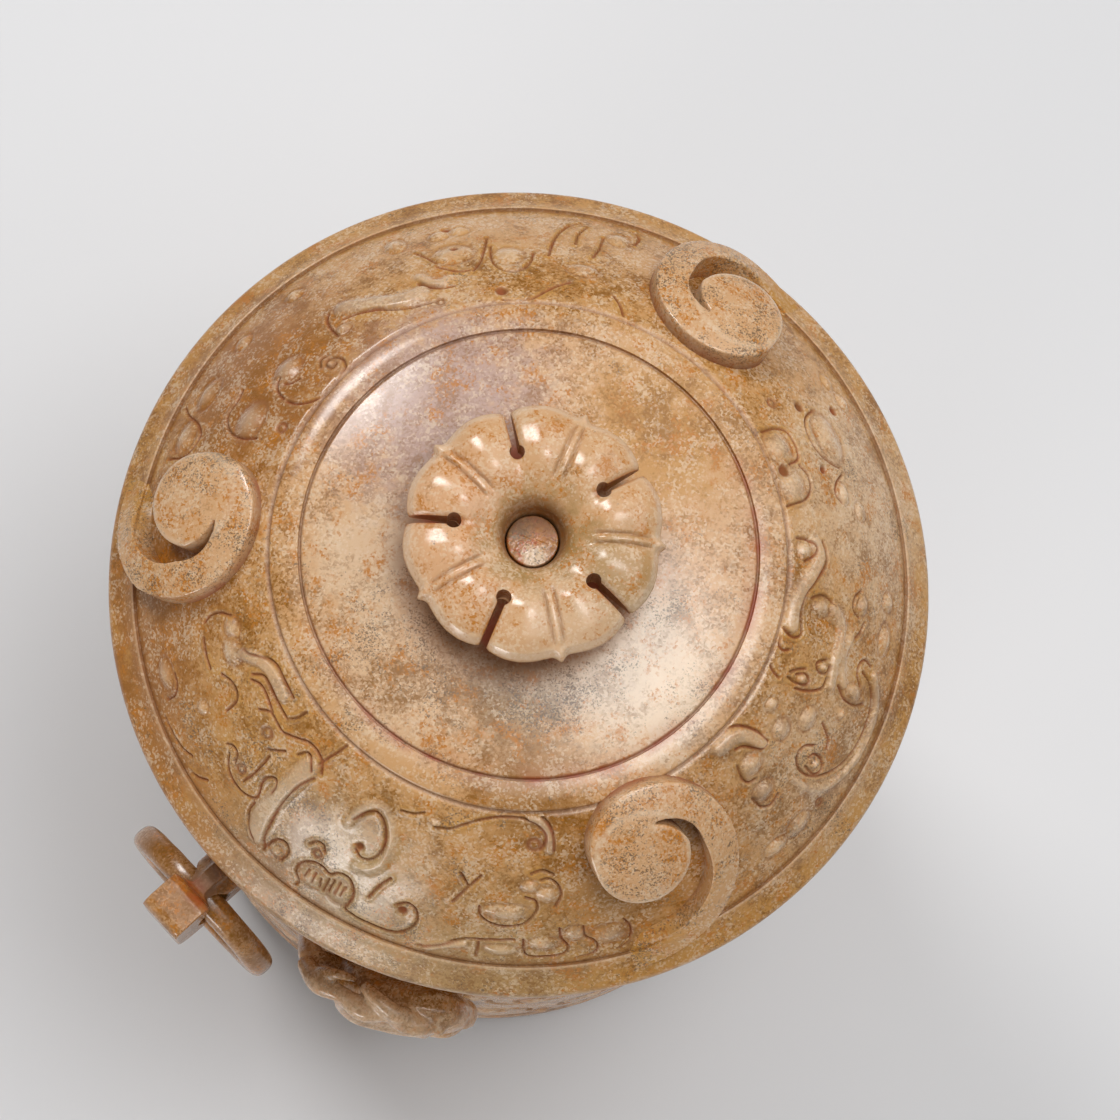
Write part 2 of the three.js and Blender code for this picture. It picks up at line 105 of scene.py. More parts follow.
def bell(value: np.ndarray, middle: float, width: float) -> np.ndarray:
    """Rises to 1 at a middle and dies away on both sides of it."""
    return np.exp(-(((value - middle) / width) ** 2))


def band(rise: Point, fall: Point, value: np.ndarray) -> np.ndarray:
    """Rises from 0 to 1 over one range and falls back to 0 over another."""
    return smoothstep(*rise, value) * falling(*fall, value)


def scaled(shares: Point, size: float) -> list[float]:
    """Returns shares of a size."""
    return [share * size for share in shares]


def polar(radius: float, turn: float) -> Pair:
    """Returns x and y of a point at a radius and a turn in degrees."""
    return radius * math.cos(math.radians(turn)), radius * math.sin(math.radians(turn))


def radii_of(places: np.ndarray) -> np.ndarray:
    """Returns how far points are from the axis of the cup."""
    return np.hypot(places[:, 0], places[:, 1])


def turns_of(places: np.ndarray) -> np.ndarray:
    """Returns how far points are turned round the axis of the cup, in degrees."""
    return np.degrees(np.arctan2(places[:, 1], places[:, 0]))


def lengths_along(points: np.ndarray) -> np.ndarray:
    """Returns the distance along a line from its first point to each of its points."""
    return np.concatenate([[0.0], np.cumsum(np.linalg.norm(np.diff(points, axis=0), axis=1))])


def steps_from(start: Point, offsets: Route) -> Route:
    """Returns the points that lie at some offsets from a start."""
    return [(start[0] + across, start[1] + up) for across, up in offsets]


def lifted(points: Route, base: float = 0.0) -> Profile:
    """Returns a profile of radius and height, raised by a base."""
    return [(float(radius), float(height) + base) for radius, height in points]


def wobble(places: np.ndarray, length: float) -> np.ndarray:
    """Gives the slow unevenness of a surface ground by hand, from about -1 to 1 at each point."""
    x, y, z = places.T * (2 * math.pi / length)
    return (np.sin(x + 0.7 * z) * np.cos(0.8 * y - 0.3 * x) + np.sin(1.3 * y + 0.5 * z) * np.cos(0.6 * x)) / 2


def eased(route: Route, samples: int = 6) -> np.ndarray:
    """Runs a smooth line through the points of a route.

    Args:
        route: Points, each with any number of values.
        samples: Steps between two points.

    Returns:
        Points along the line, one row each.
    """
    points = np.array(route, float)
    padded = np.vstack([2 * points[0] - points[1], points, 2 * points[-1] - points[-2]])
    t = np.linspace(0.0, 1.0, samples, endpoint=False)[:, None]
    spans = []
    for a, b, c, d in zip(padded, padded[1:], padded[2:], padded[3:]):
        bend = (2 * a - 5 * b + 4 * c - d) * t**2 + (3 * b - a - 3 * c + d) * t**3
        spans.append(0.5 * (2 * b + (c - a) * t + bend))
    return np.vstack([*spans, points[-1:]])


def bowed(start: Point, control: Point, end: Point, steps: int) -> list[np.ndarray]:
    """Samples a curve that leaves start towards control and arrives at end from it.

    Args:
        start: First point.
        control: Point that pulls the curve.
        end: Last point.
        steps: Number of steps.

    Returns:
        Points after start, up to end.
    """
    a, b, c = (np.array(p, float) for p in (start, control, end))
    shares = np.linspace(0.0, 1.0, steps + 1)[1:]
    return [(1 - t) ** 2 * a + 2 * (1 - t) * t * b + t * t * c for t in shares]


# Bench: drawing, turning, joining and smoothing pieces


@contextmanager
def editing(piece: Piece) -> Iterator[None]:
    """Opens a piece in edit mode with all of it selected.

    Args:
        piece: The piece to edit.

    Yields:
        Nothing.
    """
    pick(piece)
    bpy.ops.object.mode_set(mode="EDIT")
    bpy.ops.mesh.select_all(action="SELECT")
    yield
    bpy.ops.object.mode_set(mode="OBJECT")


def pick(*pieces: Piece) -> None:
    """Selects only these pieces, and makes the first the active one.

    Args:
        *pieces: Pieces to select.
    """
    bpy.ops.object.select_all(action="DESELECT")
    for piece in pieces:
        piece.select_set(True)
    bpy.context.view_layer.objects.active = pieces[0]


def named(name: str) -> Piece:
    """Gives the active object and its data a name.

    Args:
        name: The new name.

    Returns:
        The active object.
    """
    piece = bpy.context.object
    piece.name = piece.data.name = name
    return piece


def copied(piece: Piece, name: str) -> Piece:
    """Copies a piece with a mesh of its own.

    Args:
        piece: The piece to copy.
        name: Name of the copy.

    Returns:
        The copy.
    """
    copy = piece.copy()
    copy.data = piece.data.copy()
    bpy.context.scene.collection.objects.link(copy)
    copy.name = copy.data.name = name
    return copy


def modified(piece: Piece, kind: str, **settings: object) -> None:
    """Adds a modifier to a piece and applies it.

    Args:
        piece: The piece to change.
        kind: Blender's name of the modifier.
        **settings: Values of the modifier.
    """
    pick(piece)
    bpy.ops.object.modifier_add(type=kind)
    modifier = piece.modifiers[-1]
    for key, value in settings.items():
        setattr(modifier, key, value)
    bpy.ops.object.modifier_apply(modifier=modifier.name)


def cut_out(piece: Piece, tool: Piece, **settings: object) -> None:
    """Cuts the shape of a tool out of a piece, and puts the tool away."""
    modified(piece, "BOOLEAN", object=tool, operation="DIFFERENCE", solver="EXACT", **settings)
    bpy.data.objects.remove(tool)


def chain(name: str, points: Route) -> Piece:
    """Draws a line of edges by extruding one vertex from point to point.

    Args:
        name: Name of the piece.
        points: Points in millimetres.

    Returns:
        The new piece.
    """
    places = [Vector(p) * MM for p in points]
    bpy.ops.object.select_all(action="DESELECT")
    bpy.ops.mesh.primitive_plane_add(size=MM)
    piece = named(name)
    with editing(piece):
        bpy.ops.mesh.merge(type="CENTER")
        bpy.ops.transform.translate(value=places[0])
        for here, there in pairwise(places):
            bpy.ops.mesh.extrude_region_move(TRANSFORM_OT_translate={"value": there - here})
    return piece


def welded(piece: Piece) -> None:
    """Merges doubled vertices and turns all faces outwards.

    Args:
        piece: The piece to mend.
    """
    with editing(piece):
        bpy.ops.mesh.remove_doubles(threshold=WELD)
        bpy.ops.mesh.normals_make_consistent(inside=False)


def smoothed(piece: Piece, angle: float = SHARP_EDGE) -> None:
    """Shades a piece smooth, apart from edges sharper than an angle in degrees."""
    pick(piece)
    bpy.ops.object.shade_smooth_by_angle(angle=math.radians(angle))


def turned(name: str, profile: Route, steps: int) -> Piece:
    """Turns a profile of radius and height round the axis of the cup.

    Args:
        name: Name of the piece.
        profile: Points in millimetres.
        steps: Facets in a full turn.

    Returns:
        The turned piece.
    """
    piece = chain(name, [(radius, 0.0, height) for radius, height in profile])
    modified(piece, "SCREW", steps=steps, render_steps=steps, use_merge_vertices=True, merge_threshold=WELD)
    welded(piece)
    smoothed(piece)
    return piece


def plate(name: str, outline: Route, low: float, high: float) -> Piece:
    """Fills a closed outline and extrudes it upwards.

    Args:
        name: Name of the piece.
        outline: Points in millimetres, without the first one repeated.
        low: Height of the lower face.
        high: Height of the upper face.

    Returns:
        The new piece.
    """
    piece = chain(name, [(x, y, low) for x, y in outline])
    with editing(piece):
        bpy.ops.mesh.edge_face_add()
        bpy.ops.mesh.extrude_region_move(TRANSFORM_OT_translate={"value": (0.0, 0.0, (high - low) * MM)})
    welded(piece)
    return piece


def limb(name: str, route: Route) -> Piece:
    """Draws a round limb along a route.

    Args:
        name: Name of the piece.
        route: Points of x, y, z and radius, in millimetres.

    Returns:
        The limb as a closed mesh.
    """
    stops = eased(route)
    bpy.ops.object.select_all(action="DESELECT")
    bpy.ops.curve.primitive_nurbs_path_add()
    piece = named(name)
    curve = piece.data
    curve.splines.clear()
    spline = curve.splines.new("POLY")
    spline.points.add(len(stops) - 1)
    for point, (x, y, z, radius) in zip(spline.points, stops):
        point.co = (x * MM, y * MM, z * MM, 1.0)
        point.radius = max(radius, LEAST_LIMB)
    curve.bevel_depth = MM
    curve.bevel_resolution = LIMB_SIDES // 4
    curve.use_fill_caps = True
    pick(piece)
    bpy.ops.object.convert(target="MESH")
    return bpy.context.object


def ball(name: str, centre: Point, radius: float) -> Piece:
    """Adds a ball that will be fused into a piece.

    Args:
        name: Name of the ball.
        centre: Its place in millimetres.
        radius: Its radius in millimetres.

    Returns:
        The ball.
    """
    bpy.ops.object.select_all(action="DESELECT")
    bpy.ops.mesh.primitive_ico_sphere_add(subdivisions=3, radius=radius * MM, location=Vector(centre) * MM)
    piece = named(name)
    bpy.ops.object.transform_apply()
    return piece


def fused(name: str, parts: Sequence[Piece], grain: float) -> Piece:
    """Joins overlapping parts into one skin and polishes it.

    Args:
        name: Name of the piece.
        parts: Overlapping closed meshes.
        grain: Size of the skin's faces in millimetres.

    Returns:
        The fused piece.
    """
    pick(*parts)
    if len(parts) > 1:
        bpy.ops.object.join()
    piece = named(name)
    modified(piece, "REMESH", mode="VOXEL", voxel_size=grain * MM, use_smooth_shade=True)
    modified(piece, "SMOOTH", factor=0.5, iterations=POLISH_PASSES)
    return piece


def points_of(piece: Piece) -> np.ndarray:
    """Reads the vertices of a piece.

    Args:
        piece: The piece to read.

    Returns:
        Places in millimetres, one row each.
    """
    places = np.empty(len(piece.data.vertices) * 3)
    piece.data.vertices.foreach_get("co", places)
    return places.reshape(-1, 3) / MM


def set_points(piece: Piece, places: np.ndarray) -> None:
    """Moves a piece's vertices to places in millimetres."""
    piece.data.vertices.foreach_set("co", (places * MM).ravel())
    piece.data.update()


def set_values(piece: Piece, **marks: np.ndarray) -> None:
    """Stores values for each vertex of a piece, under the names that its finish reads.

    Args:
        piece: The piece to mark.
        **marks: Values of each mark, one for each vertex.
    """
    for name, values in marks.items():
        made = piece.data.attributes.new(name, "FLOAT", "POINT")
        made.data.foreach_set("value", values.astype(np.float32))


def settled(piece: Piece, turn: float, tilt: float = 0.0, place: Point = (0, 0, 0)) -> None:
    """Tilts a piece outwards, puts it in its place in the direction +X, and turns it round the axis.

    Args:
        piece: The piece, made on the origin.
        turn: Degrees round the axis.
        tilt: Degrees from upright towards +X.
        place: Place in millimetres before the turn.
    """
    lean = Matrix.Rotation(math.radians(tilt), 4, "Y")
    shift = Matrix.Translation(Vector(place) * MM)
    piece.matrix_world = Matrix.Rotation(math.radians(turn), 4, "Z") @ shift @ lean
    pick(piece)
    bpy.ops.object.transform_apply()


def refined(piece: Piece, found: np.ndarray, lines: np.ndarray, cuts: int) -> None:
    """Splits the faces along carved lines, so that the lines are crisp.

    Args:
        piece: Piece that will be carved.
        found: Numbers of the vertices that may be carved.
        lines: How deep each of these vertices lies in a line, from 0 to 1.
        cuts: How many times each face's side is cut.
    """
    mesh = piece.data
    marked = np.zeros(len(mesh.vertices), bool)
    marked[found] = lines > LINE_EDGE
    corners, starts = np.empty(len(mesh.loops), int), np.empty(len(mesh.polygons), int)
    mesh.loops.foreach_get("vertex_index", corners)
    mesh.polygons.foreach_get("loop_start", starts)
    near = np.logical_or.reduceat(marked[corners], starts)
    with editing(piece):
        bpy.ops.mesh.select_mode(type="FACE")
        bpy.ops.mesh.select_all(action="DESELECT")
    mesh.polygons.foreach_set("select", near)
    bpy.ops.object.mode_set(mode="EDIT")
    bpy.ops.mesh.subdivide(number_cuts=cuts)
    bpy.ops.mesh.select_mode(type="VERT")
    bpy.ops.object.mode_set(mode="OBJECT")


# Finishes


class NodeBench:
    """Places and joins nodes in a node tree."""

    def __init__(self, tree: bpy.types.NodeTree) -> None:
        """Keeps the tree and empties it."""
        self.tree = tree
        tree.nodes.clear()

    def node(self, kind: str, inputs: Inputs | None = None, **settings: object) -> bpy.types.Node:
        """Adds a node.

        Args:
            kind: Name of the node, without its ShaderNode start.
            inputs: Values, or sockets to join, for the node's inputs.
            **settings: Properties of the node.

        Returns:
            The new node.
        """
        made = self.tree.nodes.new("ShaderNode" + kind)
        for key, value in settings.items():
            setattr(made, key, value)
        for key, value in (inputs or {}).items():
            self.feed(made.inputs[key], value)
        return made

    def feed(self, socket: Socket, value: object) -> None:
        """Joins a socket to another one, or sets its value.

        Args:
            socket: The input socket.
            value: An output socket, or a plain value.
        """
        if isinstance(value, Socket):
            self.tree.links.new(value, socket)
        elif isinstance(value, tuple) and len(value) == 3 and socket.type == "RGBA":
            socket.default_value = (*value, 1.0)
        else:
            socket.default_value = value

    def mark(self, name: str) -> Socket:
        """Reads a mark that the vertices of a piece carry, and returns its value."""
        return self.node("Attribute", attribute_name=name).outputs["Fac"]

    def blend(self, share: object, first: object, second: object) -> Socket:
        """Mixes two colours by a share of the second, and returns the mixed colour."""
        made = self.node("Mix", {0: share, 6: first, 7: second}, data_type="RGBA")
        return made.outputs[2]

    def ease(self, value: object, low: float, high: float) -> Socket:
        """Eases a value from 0 at low to 1 at high, and returns it."""
        made = self.node("MapRange", {0: value, 1: low, 2: high}, interpolation_type="SMOOTHSTEP")
        return made.outputs[0]

    def sum(self, operation: str, *values: object) -> Socket:
        """Does arithmetic on two or three values, and returns the result."""
        return self.node("Math", dict(enumerate(values)), operation=operation).outputs[0]

    def mixed(self, *parts: tuple[object, float]) -> Socket:
        """Adds up values, each times its weight.

        Args:
            *parts: Values and their weights.

        Returns:
            The sum.
        """
        total: object = 0.0
        for value, weight in parts:
            total = self.sum("MULTIPLY_ADD", value, weight, total)
        return total

    def noise(self, place: object, scale: float, detail: float, roughness: float) -> Socket:
        """Adds a cloudy noise at a scale per metre, and returns its value."""
        values = {"Vector": place, "Scale": scale, "Detail": detail, "Roughness": roughness}
        return self.node("TexNoise", values).outputs[0]

    def grains(self, place: object, scale: float) -> list[Socket]:
        """Adds crystal grains at a scale per metre, and returns three chance values of each grain."""
        cells = self.node("TexVoronoi", {"Vector": place, "Scale": scale}).outputs["Color"]
        return list(self.node("SeparateColor", {0: cells}).outputs)


class SharedGroup:
    """A node group that several finishes use, with named inputs and outputs."""

    def __init__(self, name: str, inputs: dict[str, str], outputs: dict[str, str]) -> None:
        """Makes the group and its sockets.

        Args:
            name: Name of the group.
            inputs: Name and kind of each input, such as Float, Color or Vector.
            outputs: Name and kind of each output.
        """
        self.tree = bpy.data.node_groups.new(name, "ShaderNodeTree")
        self.bench = NodeBench(self.tree)
        for way, sockets in (("INPUT", inputs), ("OUTPUT", outputs)):
            for socket, kind in sockets.items():
                self.tree.interface.new_socket(socket, in_out=way, socket_type="NodeSocket" + kind)
        self.given = self.tree.nodes.new("NodeGroupInput").outputs
        self.put = self.tree.nodes.new("NodeGroupOutput").inputs

    def out(self, socket: str, value: Socket) -> None:
        """Joins a value to one of the group's outputs."""
        self.tree.links.new(value, self.put[socket])


# Noises in the stone: scale per metre, detail and roughness
ZONES = (120.0, 8.0, 0.66)
BLOTCHES = (420.0, 8.0, 0.68)
STAINS = (330.0, 8.0, 0.7)
PALES = (260.0, 6.0, 0.7)
CLUSTERS = (230.0, 6.0, 0.7)
TEARS = (420.0, 6.0, 0.75)
RUSTS = (300.0, 3.0, 0.6)
STIRS = {"Scale": 2400.0, "Detail": 3.0}

# Scales of its grains, per metre
CRYSTALS = 4200.0
SPECKS = 7400.0

# Where its patterns start and are full, how strongly they colour it, and how dull it is at least
CLOUD_EDGE = (0.91, 1.09)
STAIN_EDGE, STAIN_TINT = (0.96, 1.1), 0.9
PALE_EDGE, PALE_TINT = (0.49, 0.65), 0.5
FLECK_EDGE, FLECK_TINT = (1.0, 1.1), 0.8
LEAST_DULL = 0.11

# How far the stains lie from the clouds in the noise, and how far the crystals are stirred, in metres
ASIDE = (0.37, 0.11, 0.23)
STIRRED = (0.4 * MM,) * 3

# How far the torn edge of a patch wanders, as shares of its reach, and where the patch ends
TEAR = 1.5
TEAR_MIDDLE = -0.75
PATCH_EDGE = 0.7


def mottle_group() -> bpy.types.NodeTree:
    """Builds the stone itself: clouds of two colours, stains, pale grains, and grey flecks in clusters.

    Returns:
        The node group.
    """
    colours = {name: "Color" for name in ("Ground", "Cloud", "Stain", "Grain", "Fleck")}
    shares = {name: "Float" for name in ("Cloud Share", "Stain Share", "Fleck Share")}
    outputs = {"Color": "Color", "Roughness": "Float", "Height": "Float"}
    group = SharedGroup("jade_mottle", {"Vector": "Vector", **colours, **shares}, outputs)
    bench, given = group.bench, group.given
    place = given["Vector"]
    aside = bench.node("VectorMath", {0: place, 1: ASIDE}).outputs[0]
    blotch = bench.noise(place, *BLOTCHES)
    stir = bench.node("TexNoise", {"Vector": place, **STIRS}).outputs["Color"]
    stirred = bench.node("VectorMath", {0: stir, 1: STIRRED, 2: place}, operation="MULTIPLY_ADD").outputs[0]
    coarse, fine, finest = bench.grains(stirred, CRYSTALS)
    speck = bench.grains(stirred, SPECKS)[0]

    clouds = bench.mixed((bench.noise(place, *ZONES), 0.48), (blotch, 0.4), (coarse, 0.12))
    clouds = bench.ease(bench.sum("ADD", clouds, given["Cloud Share"]), *CLOUD_EDGE)
    colour = bench.blend(clouds, given["Ground"], given["Cloud"])
    stain = bench.mixed((bench.noise(aside, *STAINS), 0.84), (fine, 0.16))
    stain = bench.ease(bench.sum("ADD", stain, given["Stain Share"]), *STAIN_EDGE)
    colour = bench.blend(bench.sum("MULTIPLY", stain, STAIN_TINT), colour, given["Stain"])
    pale = bench.mixed((bench.noise(place, *PALES), 0.72), (finest, 0.28), (clouds, -0.07))
    pale = bench.ease(pale, *PALE_EDGE)
    colour = bench.blend(bench.sum("MULTIPLY", pale, PALE_TINT), colour, given["Grain"])
    cluster = bench.noise(aside, *CLUSTERS)
    fleck = bench.mixed((cluster, 0.95), (speck, 0.42), (clouds, -0.05))
    fleck = bench.ease(bench.sum("ADD", fleck, given["Fleck Share"]), *FLECK_EDGE)
    colour = bench.blend(bench.sum("MULTIPLY", fleck, FLECK_TINT), colour, given["Fleck"])

    group.out("Color", colour)
    group.out("Roughness", bench.sum("ADD", bench.mixed((blotch, 0.2), (fleck, 0.1)), LEAST_DULL))
    group.out("Height", bench.mixed((blotch, 0.6), (coarse, 0.1), (fleck, -0.3)))
    return group.tree


def patch_group() -> bpy.types.NodeTree:
    """Builds a place of another colour with a torn edge, strongest at its centre.

    Returns:
        The node group.
    """
    inputs = {"Vector": "Vector", "Centre": "Vector", "Reach": "Float"}
    group = SharedGroup("jade_patch", inputs, {"Mask": "Float"})
    bench, given = group.bench, group.given
    ends = {0: given["Vector"], 1: given["Centre"]}
    away = bench.node("VectorMath", ends, operation="DISTANCE").outputs["Value"]
    torn = bench.sum("MULTIPLY_ADD", bench.noise(given["Vector"], *TEARS), TEAR, TEAR_MIDDLE)
    share = bench.sum("SUBTRACT", 1.0, bench.sum("DIVIDE", away, given["Reach"]))
    group.out("Mask", bench.ease(bench.sum("ADD", share, torn), 0.0, PATCH_EDGE))
    return group.tree


@dataclass(frozen=True)
class Patch:
    """A place of another colour in a stone.

    Fields: centre and reach in millimetres, colour, strength, and extra share of flecks.
    """

    centre: Place
    reach: float
    colour: Colour
    strength: float
    flecks: float = 0.0


@dataclass(frozen=True)
class JadeFinish:
    """A polished jade: its colours, how much of each shows, and what lies in its carved lines.

    The vertices of a piece can carry marks from 0 to 1, which the finish reads: toned for a deeper ground,
    which on the flower's saw cuts also paints an orange glow; relief where the stone is worn pale, which also
    carries painted highlights on edges; recess where residue sits, which also carries painted shade and
    shadow; and rust for rusty stain and the painted orange glow.
    """

    name: str
    ground: Colour
    cloud: Colour
    stain: Colour
    grain: Colour
    fleck: Colour
    cloud_share: float
    stain_share: float
    fleck_share: float
    patches: tuple[Patch, ...] = ()

    CLOUD_TINT = 0.35
    WORN_TINT = 0.36
    RESIDUE_TINT = 0.85
    RESIDUE_DULL = 0.5
    TONED_DULL = 0.2
    RUST_EDGE = (0.35, 0.62)
    BUMP = {"Strength": 0.2, "Distance": 0.03 * MM}
    POLISH = {"IOR": 1.55}
    GLOW = {"Subsurface Weight": 0.1, "Subsurface Radius": (1.0, 0.55, 0.3), "Subsurface Scale": 1.0 * MM}

    def build(self, mottle: bpy.types.NodeTree, patch: bpy.types.NodeTree) -> bpy.types.Material:
        """Makes the material.

        Args:
            mottle: Group that gives the stone.
            patch: Group that gives a patch's mask.

        Returns:
            The new material.
        """
        material = bpy.data.materials.new(self.name)
        material.use_nodes = True
        bench = NodeBench(material.node_tree)
        place = bench.node("TexCoord").outputs["Object"]
        toned, worn, recess, rust = (bench.mark(name) for name in ("toned", "relief", "recess", "rust"))
        ground = bench.blend(toned, self.ground, HONEY)
        cloud: object = self.cloud
        flecks: object = self.fleck_share
        for spot in self.patches:
            centre = tuple(value * MM for value in spot.centre)
            values = {"Vector": place, "Centre": centre, "Reach": spot.reach * MM}
            mask = bench.node("Group", values, node_tree=patch).outputs["Mask"]
            if spot.flecks:
                flecks = bench.sum("ADD", bench.sum("MULTIPLY", mask, spot.flecks), flecks)
            mask = bench.sum("MULTIPLY", mask, spot.strength)
            ground = bench.blend(mask, ground, spot.colour)
            cloud = bench.blend(bench.sum("MULTIPLY", mask, self.CLOUD_TINT), cloud, spot.colour)
        colours = {"Ground": ground, "Cloud": cloud, "Stain": self.stain, "Grain": self.grain}
        shares = {"Cloud Share": self.cloud_share, "Stain Share": self.stain_share, "Fleck Share": flecks}
        values = {"Vector": place, "Fleck": self.fleck, **colours, **shares}
        stone = bench.node("Group", values, node_tree=mottle).outputs
        # Relief pales the stone: wear on raised carving, and painted highlights along the rim bead, petal
        # rims, saw-cut lips and knob edges.
        colour = bench.blend(bench.sum("MULTIPLY", worn, self.WORN_TINT), stone["Color"], self.grain)
        # Recess mixes in umber: residue in lines and grooves, and painted shade and shadow under the flower,
        # on the peg and on the lug's arm.
        colour = bench.blend(bench.sum("MULTIPLY", recess, self.RESIDUE_TINT), colour, UMBER)
        torn = bench.ease(bench.noise(place, *RUSTS), *self.RUST_EDGE)
        # This mark mixes in red-brown: rusty stain, and a painted orange glow on the flower's saw cuts and on
        # the field under the flower.
        colour = bench.blend(bench.sum("MULTIPLY", rust, torn), colour, RUST)
        deep = bench.sum("MULTIPLY", toned, toned)
        dull = bench.mixed((recess, self.RESIDUE_DULL), (deep, self.TONED_DULL), (stone["Roughness"], 1.0))
        bump = bench.node("Bump", {**self.BUMP, "Height": stone["Height"]}).outputs["Normal"]
        surface = {"Base Color": colour, "Roughness": dull, "Normal": bump, **self.POLISH, **self.GLOW}
        shader = bench.node("BsdfPrincipled", surface)
        bench.node("OutputMaterial", {"Surface": shader.outputs["BSDF"]})
        return material


OCHRE = (0.24, 0.094, 0.009)
HONEY = (0.47, 0.225, 0.04)
PEACH = (0.58, 0.34, 0.17)
CREAM = (0.7, 0.54, 0.38)
UMBER = (0.19, 0.065, 0.014)
ORANGE = (0.45, 0.16, 0.014)
RUSSET = (0.32, 0.12, 0.022)
OLIVE = (0.3, 0.18, 0.055)
SLATE = (0.12, 0.075, 0.038)
LAVENDER = (0.44, 0.3, 0.26)
RUST = (0.34, 0.07, 0.02)
MOSS = (0.15, 0.11, 0.05)
STRAW = (0.36, 0.26, 0.13)
CLAY = (0.36, 0.18, 0.07)
BLUSH = (0.66, 0.37, 0.2)

LID_PATCHES = (
    # The lavender patch on the field towards -X and +Y is painted sheen; the cream patch towards +X and -Y is
    # partly the stone's own cream and partly a painted reflection.
    Patch((-7, 16, 114), 16, LAVENDER, 0.9, -0.06),
    Patch((9, -14, 115), 13, CREAM, 0.85, 0.08),
    Patch((-17, 1, 115), 9, CREAM, 0.5, 0.03),
    Patch((-15, -11, 114), 11, CREAM, 0.35, 0.12),
    Patch((-4, -15, 115), 8, MOSS, 0.5, 0.1),
    Patch((14, 10, 115), 13, HONEY, 0.8, -0.05),
    Patch((-25, 23, 107), 17, RUSSET, 0.95, -0.05),
    Patch((-37, 4, 102), 15, RUSSET, 0.75, 0.0),
    Patch((-41, -10, 98), 14, RUSSET, 0.75, 0.0),
    Patch((-34, -26, 98), 14, RUSSET, 0.5, 0.0),
    Patch((-30, -16, 104), 12, HONEY, 0.3, 0.09),
    Patch((35, 2, 103), 17, CREAM, 0.45, 0.03),
    Patch((26, -24, 104), 14, CREAM, 0.3, 0.06),
    Patch((-24, -28, 102), 15, STRAW, 0.65, 0.09),
    Patch((-10, -41, 98), 16, STRAW, 0.5, 0.03),
    Patch((6, -33, 106), 14, OCHRE, 0.4, 0.02),
    Patch((-3, -24, 112), 9, OCHRE, 0.6, 0.0),
)
FLOWER_PATCHES = (
    Patch((-8, 2, 121), 12, BLUSH, 0.6),
    # The cream patch towards -Y on the flower is a painted glow.
    Patch((3, -8, 121), 8, CREAM, 0.3),
    Patch((0, 0, 120), 8, OLIVE, 0.9),
    Patch((8, -5, 121), 7, OLIVE, 0.55),
)
PEG_PATCHES = (
    Patch((-1.0, 1.7, 119), 2.2, MOSS, 0.9, 0.03),
    Patch((-0.1, -1.7, 119), 2.0, CREAM, 0.8, 0.06),
    Patch((0.4, 0.3, 119), 1.3, ORANGE, 0.8),
)
WALL_PATCHES = (
    Patch((30, -26, 70), 24, CREAM, 0.4, 0.04),
    Patch((-30, 26, 40), 26, CREAM, 0.35, 0.05),
    Patch((36, 18, 36), 24, RUSSET, 0.5, 0.0),
    Patch((-8, -39, 30), 22, HONEY, 0.5, 0.0),
    Patch((-38, -8, 76), 22, RUSSET, 0.45, 0.03),
    Patch((4, 40, 78), 24, HONEY, 0.5, -0.03),
    Patch((10, -38, 88), 16, STRAW, 0.5, 0.06),
)

# Colours of ground, clouds, stains, grains and flecks
BROWNS = (PEACH, OCHRE, ORANGE, CREAM, SLATE)
DARKS = (CLAY, OCHRE, ORANGE, PEACH, SLATE)
MOSSES = (RUSSET, MOSS, RUST, HONEY, SLATE)


class Finishes:
    """The jades of the cup, built once."""

    def __init__(self) -> None:
        """Builds the shared groups and each jade, with its shares of clouds, stains and flecks."""
        self.groups = (mottle_group(), patch_group())
        self.lid = self.jade("lid_jade", BROWNS, (0.46, 0.43, 0.1), LID_PATCHES)
        self.wall = self.jade("wall_jade", BROWNS, (0.48, 0.45, 0.1), WALL_PATCHES)
        self.flower = self.jade("flower_jade", BROWNS, (0.36, 0.46, 0.05), FLOWER_PATCHES)
        self.scroll = self.jade("scroll_jade", BROWNS, (0.34, 0.46, 0.2))
        self.dark = self.jade("foot_jade", DARKS, (0.5, 0.43, 0.1))
        self.peg = self.jade("peg_jade", MOSSES, (0.44, 0.47, 0.2), PEG_PATCHES)

    def jade(
        self, name: str, colours: Sequence[Colour], shares: Point, patches: tuple[Patch, ...] = ()
    ) -> bpy.types.Material:
        """Builds one jade."""
        return JadeFinish(name, *colours, *shares, patches).build(*self.groups)


def dressed(piece: Piece, finish: bpy.types.Material, body: Body, slot: Slot, *nodes: str) -> None:
    """Gives a piece its finish, its body and the nodes that it stands for.

    Args:
        piece: The finished piece.
        finish: Its material.
        body: Body that it rides on.
        slot: Finish slot of the record; not used.
        *nodes: Nodes that it replaces.
    """
    piece.data.materials.clear()
    piece.data.materials.append(finish)
    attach(piece, body.value)
    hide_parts(*nodes)
    log.info("%s: %d faces", piece.name, len(piece.data.polygons))


# Carving


@dataclass(frozen=True)
class Motif:
    """One carved ornament. A point is its turn in degrees and its second place on the surface.

    Fields: grooves are cut lines; straps are a width and a raised line; bosses are a point, half width and
    half height; rings and pits are a point and a radius.
    """

    grooves: tuple[Route, ...] = ()
    straps: tuple[tuple[float, Route], ...] = ()
    bosses: tuple[tuple[float, float, float, float], ...] = ()
    rings: tuple[tuple[float, float, float], ...] = ()
    pits: tuple[tuple[float, float, float], ...] = ()


